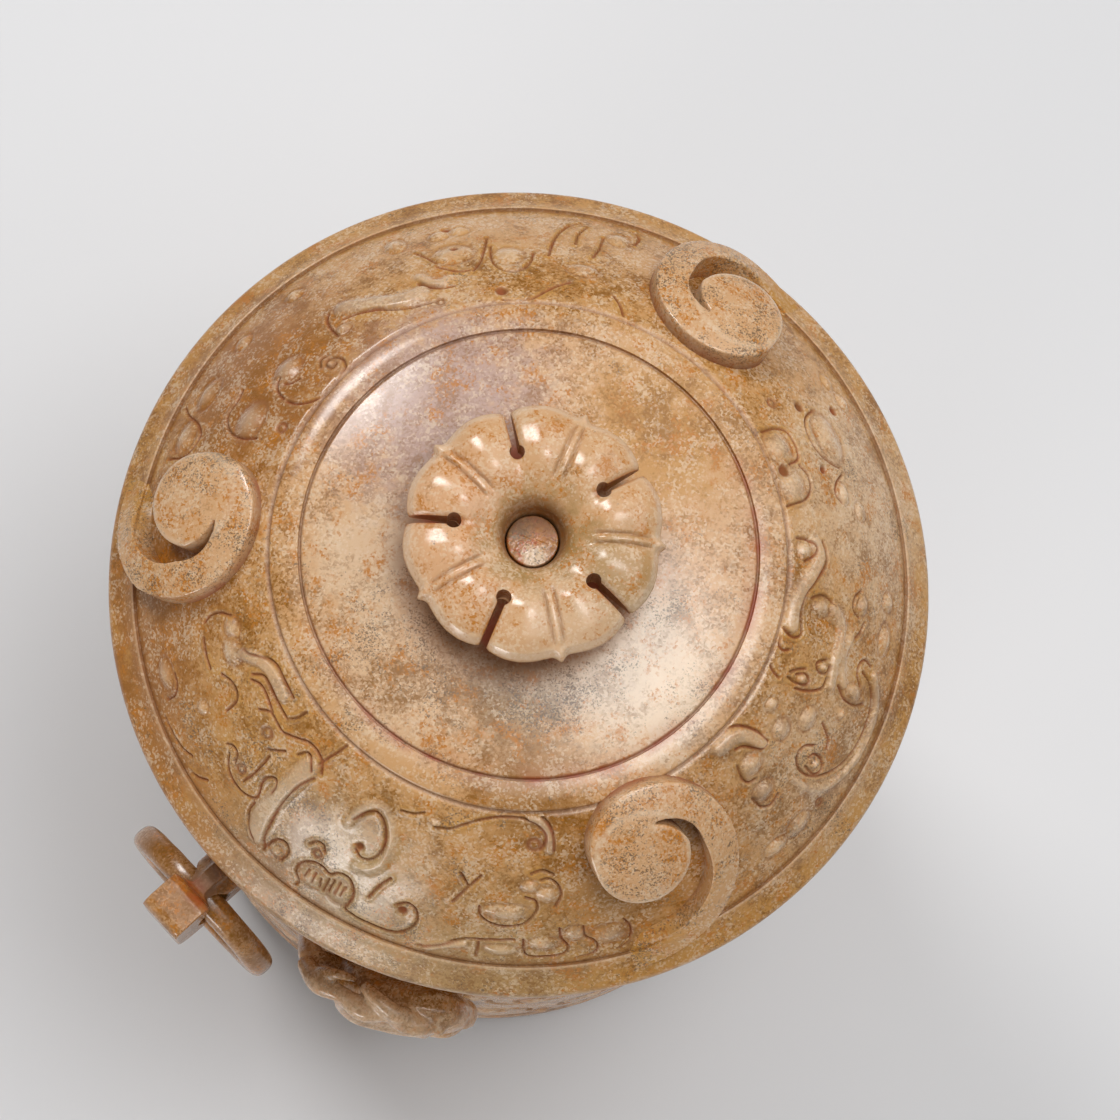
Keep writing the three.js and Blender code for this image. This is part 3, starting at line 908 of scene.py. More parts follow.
@dataclass
class Carving:
    """Carved ornament on a turned surface, worked out as a height over each vertex.

    Fields: turns in degrees, radii and distances along the surface of the vertices; lay gives the radius and
    the distance for an ornament's second place; then the tool's sizes.

    Edges, lines and reaches of an ornament are shares of its own sizes. A line is its place and width, and
    a cut is a share of the groove's depth.
    """

    turns: np.ndarray
    radii: np.ndarray
    runs: np.ndarray
    lay: Callable[[np.ndarray], tuple[np.ndarray, np.ndarray]]
    groove_half: float = 0.16
    groove_depth: float = 0.24
    lip: float = 0.07
    strap_rise: float = 0.4
    boss_rise: float = 0.4

    STRAP_EDGE = (0.3, 0.62)
    BOSS_REACH, BOSS_EDGE, BOSS_LINE, BOSS_CUT = 1.6, (0.15, 1.12), (1.18, 0.14), 0.3
    GROOVE_REACH, GROOVE_EDGE, LIP_LINE = 5.0, (0.25, 1.35), (2.1, 0.9)
    RING_REACH, RING_LINE, RING_CUT = 3.0, (1.0, 0.4), 0.8
    PIT_REACH, PIT_EDGE, PIT_CUT = 2.0, (0.4, 1.2), 1.3
    LEAST_STEP = 1e-9

    def __post_init__(self) -> None:
        """Starts with a bare surface."""
        self.raised = np.zeros(len(self.turns))
        self.cut = np.zeros(len(self.turns))

    def flat(self, turns: np.ndarray, radii: np.ndarray, runs: np.ndarray, middle: float) -> np.ndarray:
        """Unrolls places round a middle turn, to millimetres across and along."""
        away = (turns - middle + FULL_TURN / 2) % FULL_TURN - FULL_TURN / 2
        return np.column_stack([radii * np.radians(away), runs])

    def near(self, route: Route, reach: float) -> tuple[np.ndarray, np.ndarray]:
        """Finds the vertices near a route.

        Args:
            route: Points of the ornament.
            reach: How far to look, in millimetres.

        Returns:
            Numbers of the vertices, and their offsets or distances from the route.
        """
        turns, seconds = np.array(route, float).T
        radii, runs = self.lay(seconds)
        middle = float(turns.mean())
        path = self.flat(turns, radii, runs, middle)
        places = self.flat(self.turns, self.radii, self.runs, middle)
        low, high = path.min(0) - reach, path.max(0) + reach
        found = np.flatnonzero(((places > low) & (places < high)).all(1))
        places = places[found]
        if len(path) == 1:
            return found, places - path[0]
        best = np.full(len(found), np.inf)
        for a, b in pairwise(eased(path)):
            along = b - a
            share = np.clip((places - a) @ along / max(along @ along, self.LEAST_STEP), 0.0, 1.0)
            best = np.minimum(best, np.linalg.norm(places - a - share[:, None] * along, axis=1))
        return found, best

    def raise_to(self, found: np.ndarray, height: np.ndarray) -> None:
        """Lifts vertices to a height unless they are higher already."""
        self.raised[found] = np.maximum(self.raised[found], height)

    def cut_to(self, found: np.ndarray, share: np.ndarray) -> None:
        """Cuts vertices to a share of the groove's depth unless they are deeper already."""
        self.cut[found] = np.maximum(self.cut[found], share)

    def add(self, motif: Motif) -> None:
        """Carves one ornament.

        Args:
            motif: The ornament.
        """
        half = self.groove_half
        for width, route in motif.straps:
            found, away = self.near(route, width)
            self.raise_to(found, self.strap_rise * falling(*scaled(self.STRAP_EDGE, width), away))
        for turn, second, across, along in motif.bosses:
            found, offset = self.near(((turn, second),), self.BOSS_REACH * max(across, along))
            away = np.hypot(offset[:, 0] / across, offset[:, 1] / along)
            self.raise_to(found, self.boss_rise * falling(*self.BOSS_EDGE, away))
            self.cut_to(found, self.BOSS_CUT * bell(away, *self.BOSS_LINE))
        for route in motif.grooves:
            found, away = self.near(route, self.GROOVE_REACH * half)
            self.cut_to(found, falling(*scaled(self.GROOVE_EDGE, half), away))
            self.raise_to(found, self.lip * bell(away, *scaled(self.LIP_LINE, half)))
        for turn, second, size in motif.rings:
            found, offset = self.near(((turn, second),), self.RING_REACH * size)
            self.cut_to(found, self.RING_CUT * bell(np.hypot(*offset.T), *scaled(self.RING_LINE, size)))
        for turn, second, size in motif.pits:
            found, offset = self.near(((turn, second),), self.PIT_REACH * size)
            self.cut_to(found, self.PIT_CUT * falling(*scaled(self.PIT_EDGE, size), np.hypot(*offset.T)))

    def height(self) -> np.ndarray:
        """Returns how far each vertex stands over the bare surface, in millimetres."""
        return self.raised - self.groove_depth * self.cut

    def worn(self) -> np.ndarray:
        """Returns how far each vertex stands out to be worn, from 0 to 1."""
        return np.clip(self.raised / self.boss_rise, 0.0, 1.0)


# The ornaments of the lid's frieze, in degrees round the axis and millimetres from it
HOOK_SCROLL = Motif(
    grooves=(
        ((229, 32.2), (230.3, 31.1), (232.2, 30.6), (234.3, 31.2), (235.8, 32.5), (235.9, 33.7),
         (234.9, 34.7), (233.2, 35), (231.8, 34.6)),
    ),
    straps=(
        (0.9, ((228.4, 32.8), (229.4, 30.9), (232, 29.8), (235, 30.5), (237, 32.3), (237, 34.2),
         (235.4, 35.5), (233, 35.8))),
    ),
    pits=((232.2, 34.2, 0.55),),
)
PAW = Motif(
    grooves=(
        ((234.4, 39.8), (234.8, 38.7), (234.2, 37.8), (232.8, 37.2), (231.2, 37.3), (230, 37.8),
         (228.4, 37.6), (226.6, 37.8), (225.2, 38.6), (225.3, 39.4), (226.5, 40), (226.2, 40.6)),
        ((233.2, 38.1), (233, 38.8)),
        ((232.2, 38), (232.1, 39)),
        ((231.2, 38.1), (231.1, 39.2)),
        ((230.3, 38.2), (230.3, 39.4)),
        ((229.2, 38.6), (229.6, 39.3)),
        ((228.1, 38.4), (228.3, 39.2)),
        ((227, 38.5), (226.8, 39.2)),
        ((234.6, 39.9), (237, 40.1), (240.5, 40.1), (243, 39.9), (244.7, 39.2), (245.3, 38.3), (244.6, 37.4),
         (243, 37.1), (241.5, 37.6)),
        ((227.6, 36.4), (226.8, 35.9), (225.6, 36), (224.8, 36.6)),
        ((239.2, 35.5), (238, 36.5), (237, 38)),
    ),
    bosses=((232.7, 38.8, 1.25, 1.35), (227.9, 39, 1.4, 1.2)),
    rings=((226.7, 36.9, 0.45),),
    pits=((242.7, 37.9, 0.6),),
)
LONG_BODY = Motif(
    grooves=(
        ((218.6, 31.6), (217.5, 33), (217.2, 35), (217.6, 37), (218.3, 38.6), (219.2, 39.5)),
        ((213.6, 37.3), (213.9, 38.2), (215, 38.9), (217.5, 39.6)),
        ((222.5, 39.5), (222.8, 38.5), (221.6, 37.9), (220.2, 38.2), (219.6, 39), (219.4, 39.8)),
        ((219.2, 30.9), (217.8, 30), (215.8, 29.6), (213.4, 29.6), (211.5, 30.1), (209.8, 30.6), (208.2, 31),
         (205.8, 30.9), (203.8, 30.9), (202.2, 31.7)),
        ((217.5, 31.2), (216, 30.5), (214.4, 30.4), (213.4, 31.2)),
        ((211.3, 31.9), (210.2, 32.5), (208.8, 33.2)),
        ((219.6, 27), (219.1, 28), (218.3, 29.2), (217.7, 30.3)),
        ((214.8, 35.3), (214.6, 34.6), (213.5, 34.3), (212.4, 34.8), (212.4, 35.6), (213.2, 36.4),
         (213.2, 37), (211.5, 37.5), (209, 37.6), (206.6, 37.2), (205, 36.4)),
        ((206.7, 36.4), (206, 35.8), (204.6, 35.7), (203.6, 36.1)),
        ((210, 33.4), (210.3, 35.2), (210, 36.9)),
    ),
    straps=((2.3, ((216.6, 31.2), (216.3, 33.2), (215.9, 35.5), (216, 37.5), (217.2, 39.1))),),
    bosses=((221.1, 39, 0.75, 0.7),),
    rings=((206.6, 32.3, 0.55), (208.3, 36.3, 0.5)),
)
LIMBS = Motif(
    grooves=(
        ((204.4, 28.3), (200, 28.2), (197, 28.2), (195, 28.6), (193.4, 29.4), (192, 30.2), (190.8, 30.6)),
        ((207, 29.9), (203, 29.8), (199, 29.7), (197, 29.9), (195.8, 30.8)),
        ((204, 30.7), (200.5, 30.4), (198.3, 30.5), (196.6, 31.1)),
        ((208.4, 28), (208.1, 29), (207.2, 29.7)),
        ((191.2, 34.5), (188.5, 34.5), (185.8, 34.3)),
        ((201.6, 39.7), (199.6, 40.2), (196.8, 40.4), (194.2, 40.5)),
        ((206, 39.6), (204.8, 40.2), (203.3, 40.6)),
        ((199, 34.6), (198.6, 33.4), (197.2, 32.9), (195, 33), (193, 33.6)),
        ((192.2, 39.6), (192.2, 38.8), (191, 38.2), (189.2, 38.1)),
        ((183.6, 31.2), (182.5, 32.2), (182.4, 33.2), (183.2, 33.9)),
    ),
    straps=((1.3, ((203, 29), (198, 28.9), (195, 29.3), (193, 30), (191.5, 30.9))),),
    bosses=((190.2, 31.8, 1.4, 1.1), (186, 31.3, 1.2, 0.9), (196.3, 36.6, 0.7, 0.7), (188.5, 39, 1.6, 1)),
)
WAVE_SCROLL = Motif(
    grooves=(
        ((243.5, 29.6), (246.5, 29.3), (249, 28.6), (252.5, 27.8), (256.5, 27.3), (260.5, 27.3),
         (263.6, 27.8), (265.4, 28.7), (265.4, 29.6), (264.4, 30.3)),
        ((267, 30.4), (267, 29), (266.1, 27.9), (264.8, 27.2)),
        ((236.2, 29.4), (238.5, 29.2), (240.5, 28.7)),
    ),
    straps=((0.9, ((266.3, 30.3), (266.2, 29), (265, 27.9), (262.5, 27.2))),),
    bosses=((243.2, 29.2, 0.7, 0.4),),
    rings=((263.2, 29.8, 0.6),),
)
CLOUD = Motif(
    grooves=(
        ((262, 34.7), (263.6, 35), (264, 35.7), (263.2, 36.5), (261.6, 37.2), (259, 37.4), (256.6, 37.2),
         (254.8, 36.6), (254.5, 35.8)),
        ((267, 35.6), (268, 34.6), (267.5, 33.6), (266, 33), (264.6, 33.1)),
        ((262.8, 32.5), (264.8, 32.2), (266.8, 32.6)),
        ((254, 33), (252, 34.3), (250, 35.8)),
        ((250.4, 33.1), (252.2, 34.2)),
    ),
    bosses=((259, 36.1, 2.3, 0.9), (265.7, 34.5, 1.1, 0.9), (262.6, 33.7, 0.9, 0.7)),
)
CLOUD_STEPS = Motif(
    grooves=(
        ((262, 38.6), (262.1, 39.6), (262.9, 40.1), (266, 40.2), (268.2, 40), (268.8, 39.4), (267.8, 38.6),
         (267.6, 37.7)),
        ((269.8, 40.6), (272.4, 40.4), (273.3, 39.9), (272.7, 39.2), (271.5, 38.7), (271.3, 37.8)),
        ((276.6, 40.4), (278.2, 39.7), (278.6, 38.8), (277.8, 37.9)),
        ((246.3, 40.5), (249.5, 39.8), (252.8, 39), (256, 38.8), (260.6, 38.6)),
        ((255.2, 39.1), (255.1, 40.4)),
    ),
    straps=((0.8, ((247.5, 40.4), (250.5, 39.7), (253, 39.4))),),
    bosses=((270.2, 38.3, 1.1, 0.9), (275.2, 38.9, 1.7, 1.2), (265, 39, 1.5, 0.8), (258.6, 39.6, 1.6, 0.7)),
)
CLAW = Motif(
    grooves=(
        ((314.7, 31), (314.6, 29.8), (313.8, 28.6), (312.3, 27.6), (310, 27), (306.5, 26.9)),
        ((314, 31.1), (312.8, 31), (311.6, 30.2), (310.3, 29.4), (308.8, 29.1)),
        ((307, 30.4), (306.3, 31.5), (306.7, 32.3), (308.2, 32.6)),
        ((309.8, 35.3), (307.6, 35.5), (306, 34.9), (305.7, 33.8)),
    ),
    straps=((1.5, ((306, 27.9), (310, 28.1), (312.5, 29.1), (313.6, 30.6))),),
    bosses=((309, 31.3, 1.5, 1.1), (308, 34, 1.3, 1), (309.5, 39, 1.6, 1), (304.5, 39, 1.4, 0.9)),
    rings=((314.3, 39.2, 0.4),),
)
BEAST_FACE = Motif(
    grooves=(
        ((336.3, 27.1), (335.4, 27.8), (335.2, 28.6), (336.4, 29.2), (338.8, 28.9), (341.5, 28.6),
         (344.5, 28.8), (347, 29.6), (349.5, 30.4), (352, 31.1), (354.5, 31.1), (356.2, 30.8)),
        ((334, 27.1), (332.2, 27.3), (331.7, 27.9), (332.4, 28.5)),
        ((330.6, 30.8), (329.6, 30), (328.4, 29.4)),
        ((327.3, 29.4), (327.2, 30.4), (328, 31.5), (329.2, 31.6), (329.7, 30.9), (328.7, 30.1)),
        ((327.4, 27.2), (326.5, 27.8), (326.1, 28.6)),
        ((334.2, 32.7), (332.8, 31.8), (331.5, 32.3), (331.9, 33.1), (333.4, 33.2)),
        ((331.3, 33.3), (329.4, 33.3), (328, 32.6), (326.9, 31.6), (326.2, 30.6)),
        ((344.3, 29.6), (345.5, 30.7), (345.1, 31.7), (344.2, 32.3)),
        ((356.4, 27.8), (356.1, 29), (354.8, 29.8), (353, 29.6), (351.6, 28.6)),
        ((348.4, 35.3), (347, 34.6), (345, 34.5), (343.8, 35.3)),
        ((343.2, 36), (341, 35.6), (339.6, 35)),
    ),
    straps=(
        (1.5, ((337.2, 28), (341, 27.8), (345, 28.3), (349, 29.3), (353, 30.2), (355.6, 29.9))),
        (1.2, ((343.6, 32.3), (341, 33.4), (337.5, 33.5), (334, 33.6), (330.5, 34))),
        (0.9, ((340, 34.6), (337, 34.3), (334, 34.5), (331.8, 35.2))),
    ),
    bosses=(
        (354, 28.6, 1.1, 0.9), (332.6, 32.5, 0.6, 0.4), (328.6, 30.8, 0.8, 0.6), (343, 30.8, 0.9, 1.2),
        (346, 35.6, 1, 0.8), (342, 38.8, 1.6, 1), (348, 38.7, 1, 0.9), (323, 33.3, 1.2, 1),
        (318.3, 31.5, 1.1, 1), (320.6, 29.3, 0.8, 0.7),
    ),
)
SPIRAL_TAIL = Motif(
    grooves=(
        ((333.2, 37.2), (334.6, 36.5), (336.4, 36.4), (337.5, 37), (337, 37.8)),
        ((335.5, 37), (334.8, 37.9), (333.2, 38.7), (330.8, 39.2), (327.5, 39.4), (324, 39.3), (320.8, 38.8),
         (318.2, 38), (316.3, 37), (315.4, 35.9), (315.7, 34.9), (317.2, 34.3), (319, 34.5), (320.2, 35.3)),
        ((316.5, 35.7), (316.6, 36.9), (318, 37.3), (319.3, 36.7), (319.1, 35.8), (318, 35.5)),
        ((324.2, 34.9), (322.8, 36.2), (321.2, 36.6)),
        ((331.2, 34.8), (329.8, 36), (330, 37.4), (331, 38.2)),
    ),
    straps=(
        (0.9, ((313.4, 35.6), (314.1, 37.2), (316.5, 38.6), (320, 39.5), (325, 40), (329.5, 39.9),
         (333, 39.3), (335.8, 38.3))),
    ),
    bosses=((318, 36.4, 0.6, 0.5), (331.7, 36.7, 0.8, 1.2), (327.4, 36.3, 0.6, 0.5)),
)
LOBED_PAD = Motif(
    grooves=(
        ((20.9, 27.6), (20.6, 29.3), (19.2, 30.4), (16, 30.6), (13.2, 30.2), (12.5, 29)),
        ((11.8, 30.1), (9.5, 30.7), (6.6, 30.5), (4.7, 29.6), (3.9, 28.2), (3.4, 27.2)),
        ((21.6, 35), (20.9, 33.8), (19.2, 33), (16.5, 32.7), (13.8, 33), (11.6, 33.9), (10.3, 35)),
        ((9.2, 35), (7.6, 33.9), (5.6, 33.4), (3.9, 33.9)),
    ),
    bosses=(
        (16.6, 28.6, 1.9, 1.5), (7.6, 28.6, 1.9, 1.5), (16, 35, 2.6, 1.7), (5.6, 34.4, 1.1, 0.7),
        (2.4, 36, 1, 0.8), (25.5, 39, 1, 0.8), (21.5, 39.3, 1.1, 0.8),
    ),
    rings=((25.7, 30.7, 0.45),),
    pits=((11.3, 28.1, 0.8), (23, 33.6, 0.7), (10.3, 32.8, 0.5), (20.5, 37.5, 0.6)),
)
TOP_SCROLL = Motif(
    grooves=(
        ((61, 27.4), (62.6, 28.6), (64.4, 29.5)),
        ((88, 27.2), (85.5, 27), (82.5, 27.1), (80.2, 27.7), (78.2, 28.5), (76, 29.3), (73.6, 30)),
        ((88.4, 35), (88.7, 33), (87.6, 31.6), (85.4, 31), (83, 31.4), (81.5, 32.5), (81, 33.7)),
        ((92.6, 31.7), (91, 32.7), (90, 34), (89.2, 35.3), (88.8, 36.3)),
        ((78.2, 33.5), (77.5, 35.5), (76.6, 37.2), (75, 38.7), (73.4, 39.4)),
        ((73.6, 35.8), (73.3, 37.5), (72.2, 38.9)),
        ((70.2, 34.2), (69.4, 36), (69.2, 37.8)),
        ((64, 38), (63.6, 39.4), (65, 40.3)),
    ),
    bosses=((85.5, 33.4, 1.5, 1.5), (66.6, 38, 1.2, 1.4), (71.5, 32, 1.5, 1)),
    pits=((87.9, 28.4, 0.7),),
)
SNOUT = Motif(
    grooves=(
        ((98.8, 33.3), (97, 32.5), (95.3, 31.9), (93.4, 31.8)),
        ((98.6, 33.9), (99.8, 35), (101.1, 36.1)),
        ((103.5, 31.8), (102, 30.9), (99.6, 30.2), (97, 30.1)),
        ((119, 32.2), (116.4, 31.7), (113, 30.8), (110.4, 29.9), (107.4, 29.2), (104, 28.9), (100.6, 28.8)),
    ),
    straps=(
        (2.0, ((117.6, 33.3), (114, 32.1), (110.4, 31), (106.8, 30.4), (103.8, 30.5))),
        (1.1, ((102.6, 32.4), (101.2, 31.3), (99.3, 30.8), (97.3, 31.2))),
    ),
    bosses=((95.3, 34.6, 2, 1.7), (103.5, 38.3, 1.1, 1.5), (96.4, 37.9, 1.1, 1), (92.8, 38, 1, 0.9)),
    rings=((101, 28.6, 0.4),),
    pits=((94.8, 35, 0.5), (94.9, 38.6, 0.5)),
)
COMMA_SCROLLS = Motif(
    grooves=(
        ((139.2, 29.9), (138.7, 28.7), (137.4, 27.8), (135.4, 27)),
        ((127, 28.4), (128.3, 28.3), (128.6, 28.9), (127.3, 29.4), (126, 29), (125.4, 28.2), (126.2, 27.4),
         (128, 27)),
        ((129.6, 29.4), (128.4, 30), (126.6, 29.8)),
        ((139, 30.4), (138.2, 31.4), (136.8, 32.1), (135.6, 32.2)),
        ((136.2, 31.4), (135.3, 30.8), (133.9, 30.4)),
        ((148.3, 30.8), (149, 32.4), (148.4, 33.8), (146.9, 34.7), (145, 35.1), (142.4, 34.9), (140.3, 35.1)),
        ((154.2, 39.6), (153.7, 38.1), (152.2, 37.3), (150, 37), (148.4, 37.6), (147.5, 38.4), (146.7, 39.5),
         (145.6, 40.3)),
        ((122.3, 30.9), (122.1, 32.1), (121.5, 33.2), (120.3, 33.9)),
    ),
    bosses=(
        (128, 28.7, 0.6, 0.5), (133.4, 32.2, 1.7, 1.4), (145.4, 32.4, 2.1, 1.6), (150.4, 38.6, 1.8, 1.3),
        (142.6, 38.6, 1.8, 1.2), (132.4, 39, 1.1, 0.9), (121.4, 39, 1.1, 0.9), (120.4, 31.2, 0.9, 0.7),
    ),
    rings=((144.7, 28.8, 0.5),),
)
FRIEZE = (
    HOOK_SCROLL, PAW, LONG_BODY, LIMBS, WAVE_SCROLL, CLOUD, CLOUD_STEPS, CLAW, BEAST_FACE, SPIRAL_TAIL,
    LOBED_PAD, TOP_SCROLL, SNOUT, COMMA_SCROLLS,
)


# Sub-assemblies


@dataclass
class Assembly:
    """A sub-assembly of the cup, made of the jades."""

    finishes: Finishes

    def build(self) -> None:
        """Makes the pieces of the sub-assembly."""
        raise NotImplementedError


@dataclass
class Lid(Assembly):
    """The domed lid: rim band, carved frieze, ring band and smooth field, hollow under it.

    A line or bead is its radius and its width. Other pairs of carved and stained places are where they start
    and end.
    """

    base: float = 95.3
    radius: float = 44.0
    rim_edge: float = 2.2
    frieze_foot: Pair = (40.9, 4.85)
    frieze_pull: Pair = (34.23, 13.33)
    frieze_top: Pair = (26.7, 17.7)
    band_lip: Pair = (26.4, 17.86)
    band_pull: Pair = (25.3, 18.4)
    band_edge: Pair = (23.85, 18.43)
    field_edge: Pair = (23.45, 18.4)
    field_lip: Pair = (23.15, 18.45)
    field_pull: Pair = (12.8975, 20.7)
    crown: float = 20.7
    collar_radius: float = 34.5
    collar_depth: float = 5.0
    hollow_radius: float = 30.0
    hollow_pull: Pair = (29.4, 7.93)
    shoulder: Pair = (21.6, 12.2)
    ceiling_pull: Pair = (16.5, 15.2)
    ceiling: float = 15.2
    skin: float = 1.0
    steps: int = 448
    frieze_rings: int = 43
    tool: float = 0.16
    wave: float = 0.05
    wave_length: float = 9.0
    rust_turn: float = 292.0

    GROOVE = 0.35
    FIELD_LINE = ((-0.12, 0.0), (0.0, -GROOVE), (0.14, -GROOVE), (0.26, 0.04))
    FRIEZE_LINE = ((-0.16, 0.1), (-0.06, -GROOVE), (0.06, -GROOVE))
    FOOT_BEAD = ((0.08, -0.24), (0.22, -0.2), (0.34, 0.04), (0.5, 0.04), (0.66, -0.16), (0.9, -0.5))
    RIM_EDGE = ((-1.4, 1.18), (-0.4, 0.38), (-0.16, 0.12), (0.0, -0.3))
    EDGE_UNDER = ((0.0, 0.5), (-0.15, 0.15), (-0.5, 0.0))
    COLLAR_TOP = ((0.3, 0.0), (0.0, -0.3))
    COLLAR_FOOT = ((0.0, 0.4), (-0.4, 0.0))
    HOLLOW_FOOT = ((0.4, 0.0), (0.0, 0.4))
    CROWN_STEPS, BAND_STEPS, FRIEZE_STEPS, HOLLOW_STEPS = 14, 4, 400, 5

    CARVED = (frieze_top[0] + 0.2, frieze_foot[0] - 0.1)
    FADE_IN, FADE_OUT = (26.8, 27.4), (40.3, 40.8)
    REFINED_WIDTH, REFINED_CUTS = 2.6, 2
    # A pale line painted along the rim bead as a highlight.
    WORN_BEAD = (frieze_foot[0] + 0.42, 0.16)
    DIRTY_LINES = ((frieze_foot[0] + 0.1, 0.28), (frieze_top[0], 0.13), (field_edge[0], 0.16))
    # The ring lines are darkened by residue; FLOWER_DIRT, DIRT_MIDDLE and DIRT_EDGE give the painted shadow
    # of the flower on the field.
    LINE_DIRT, FLOWER_DIRT = 0.7, 0.8
    DIRT_MIDDLE, DIRT_EDGE = (1.6, 222.0), (11.0, 14.4)
    RUST_LINE, RUST_SIDE, RUST_IN_GROOVES = (field_edge[0] + 0.1, 0.34), (0.3, 0.8), 0.4
    # RUST_EDGE: radii over which the painted orange glow under the flower fades out.
    RUST_EDGE = (10.6, 11.4)
    TONES = ((0.25, 23.3, 23.7), (0.2, 26.0, 28.0), (0.4, 38.0, 42.0))
    HALO, HALO_WIDTH = 0.6, 4.5

    def frieze_curve(self) -> np.ndarray:
        """Draws the frieze's slope.

        Returns:
            Evenly spaced points from its foot to its top.
        """
        slope = bowed(self.frieze_foot, self.frieze_pull, self.frieze_top, self.FRIEZE_STEPS)
        fine = np.array([self.frieze_foot, *slope])
        run = lengths_along(fine)
        even = np.linspace(0.0, run[-1], self.frieze_rings)
        return np.column_stack([np.interp(even, run, fine[:, k]) for k in (0, 1)])

    def outer(self) -> Profile:
        """Draws the lid's outer profile.

        Returns:
            Points from the middle of its crown to its edge.
        """
        crown = (0.0, self.crown)
        points = [crown, *bowed(crown, self.field_pull, self.field_lip, self.CROWN_STEPS)]
        points += [*steps_from(self.field_edge, self.FIELD_LINE), self.band_edge]
        points += bowed(self.band_edge, self.band_pull, self.band_lip, self.BAND_STEPS)
        points += [*steps_from(self.frieze_top, self.FRIEZE_LINE), *self.frieze_curve()[::-1][1:]]
        points += steps_from(self.frieze_foot, self.FOOT_BEAD)
        points += steps_from((self.radius, self.rim_edge), self.RIM_EDGE)
        return lifted(points, self.base)

    def under(self) -> Profile:
        """Draws the lid's profile under its edge.

        Returns:
            Points from the edge, round the collar, to the middle of the ceiling.
        """
        hollow, foot = self.hollow_radius, -self.collar_depth
        points = [*steps_from((self.radius, 0.0), self.EDGE_UNDER)]
        points += steps_from((self.collar_radius, 0.0), self.COLLAR_TOP)
        points += steps_from((self.collar_radius, foot), self.COLLAR_FOOT)
        points += [*steps_from((hollow, foot), self.HOLLOW_FOOT), (hollow, 0.0)]
        points += bowed((hollow, 0.0), self.hollow_pull, self.shoulder, self.HOLLOW_STEPS)
        points += bowed(self.shoulder, self.ceiling_pull, (0.0, self.ceiling), self.HOLLOW_STEPS)
        return lifted(points, self.base)

    def top_height(self, radii: np.ndarray) -> np.ndarray:
        """Returns the height of the lid's outer surface, before carving, at some radii."""
        profile = np.array(self.outer())
        return np.interp(radii, profile[:, 0], profile[:, 1])

    def on_top(self, places: np.ndarray) -> np.ndarray:
        """Tells which points lie on the lid's outer surface."""
        return places[:, 2] > self.top_height(radii_of(places)) - self.skin

    def lay(self, radii: np.ndarray) -> tuple[np.ndarray, np.ndarray]:
        """Returns some radii on the frieze, and how far down its slope they are."""
        curve = self.frieze_curve()[::-1]
        return radii, np.interp(radii, curve[:, 0], lengths_along(curve))

    def ornament(self, places: np.ndarray, half: float) -> tuple[np.ndarray, Carving]:
        """Works out the ornament over the vertices of the frieze.

        Args:
            places: Vertices of the lid in millimetres.
            half: Half width of the carver's tool.

        Returns:
            Numbers of the frieze's vertices, and the carving over them.
        """
        radii = radii_of(places)
        start, end = self.CARVED
        found = np.flatnonzero(self.on_top(places) & (radii > start) & (radii < end))
        turns = turns_of(places[found]) % FULL_TURN
        carving = Carving(turns, *self.lay(radii[found]), self.lay, groove_half=half)
        for motif in FRIEZE:
            carving.add(motif)
        return found, carving

    def carve(self, piece: Piece) -> None:
        """Carves the frieze, and marks where residue and rusty stain sit and where the stone is worn, with a
        painted highlight on the rim bead, a painted shadow of the flower on the field, and a painted orange
        glow under the flower.

        Args:
            piece: The turned lid.
        """
        places = points_of(piece)
        found, carving = self.ornament(places, self.tool)
        radii, on_top = radii_of(places), self.on_top(places)
        at = radii[found]
        fade = band(self.FADE_IN, self.FADE_OUT, at)
        lift = carving.height() * fade + self.wave * wobble(places[found], self.wave_length)
        curve = self.frieze_curve()[::-1]
        lean = np.interp(at, curve[:, 0], np.gradient(curve[:, 1], curve[:, 0]))
        size = np.hypot(lean, 1.0)
        places[found, :2] *= (1.0 - lean / size * lift / at)[:, None]
        places[found, 2] += lift / size
        set_points(piece, places)
        recess, relief = np.zeros(len(places)), np.zeros(len(places))
        recess[found] = carving.cut * fade
        relief[found] = carving.worn() * fade
        # Painted highlight: a pale line along the rim bead.
        relief = np.maximum(relief, on_top * bell(radii, *self.WORN_BEAD))
        for line in self.DIRTY_LINES:
            recess = np.maximum(recess, self.LINE_DIRT * on_top * bell(radii, *line))
        # Painted shadow: the field under the flower is darkened, its middle set off to one side as the
        # flower's cast shadow.
        from_flower = np.hypot(*(places[:, :2] - polar(*self.DIRT_MIDDLE)).T)
        recess = np.maximum(recess, self.FLOWER_DIRT * on_top * falling(*self.DIRT_EDGE, from_flower))
        low_side = 0.5 + 0.5 * np.cos(np.radians(turns_of(places) - self.rust_turn))
        rust = on_top * bell(radii, *self.RUST_LINE) * smoothstep(*self.RUST_SIDE, low_side)
        rust[found] = np.maximum(rust[found], self.RUST_IN_GROOVES * carving.cut * fade)
        # Painted glow: the field under the flower is tinted orange-brown, which shows through the saw cuts as
        # light glowing through the stone.
        rust = np.maximum(rust, on_top * falling(*self.RUST_EDGE, radii))
        toned = sum(share * smoothstep(start, end, radii) for share, start, end in self.TONES)
        toned[found] += self.HALO * self.ornament(places, self.HALO_WIDTH * self.tool)[1].cut * fade
        set_values(piece, recess=recess, relief=relief, rust=rust, toned=toned)

    def build(self) -> None:
        """Makes the lid."""
        piece = turned("lid_dome", [*self.outer(), *self.under()], self.steps)
        found, wide = self.ornament(points_of(piece), self.REFINED_WIDTH * self.tool)
        refined(piece, found, wide.cut, self.REFINED_CUTS)
        self.carve(piece)
        smoothed(piece)
        dressed(piece, self.finishes.lid, Body.LID, Slot.BROWN, "lid")


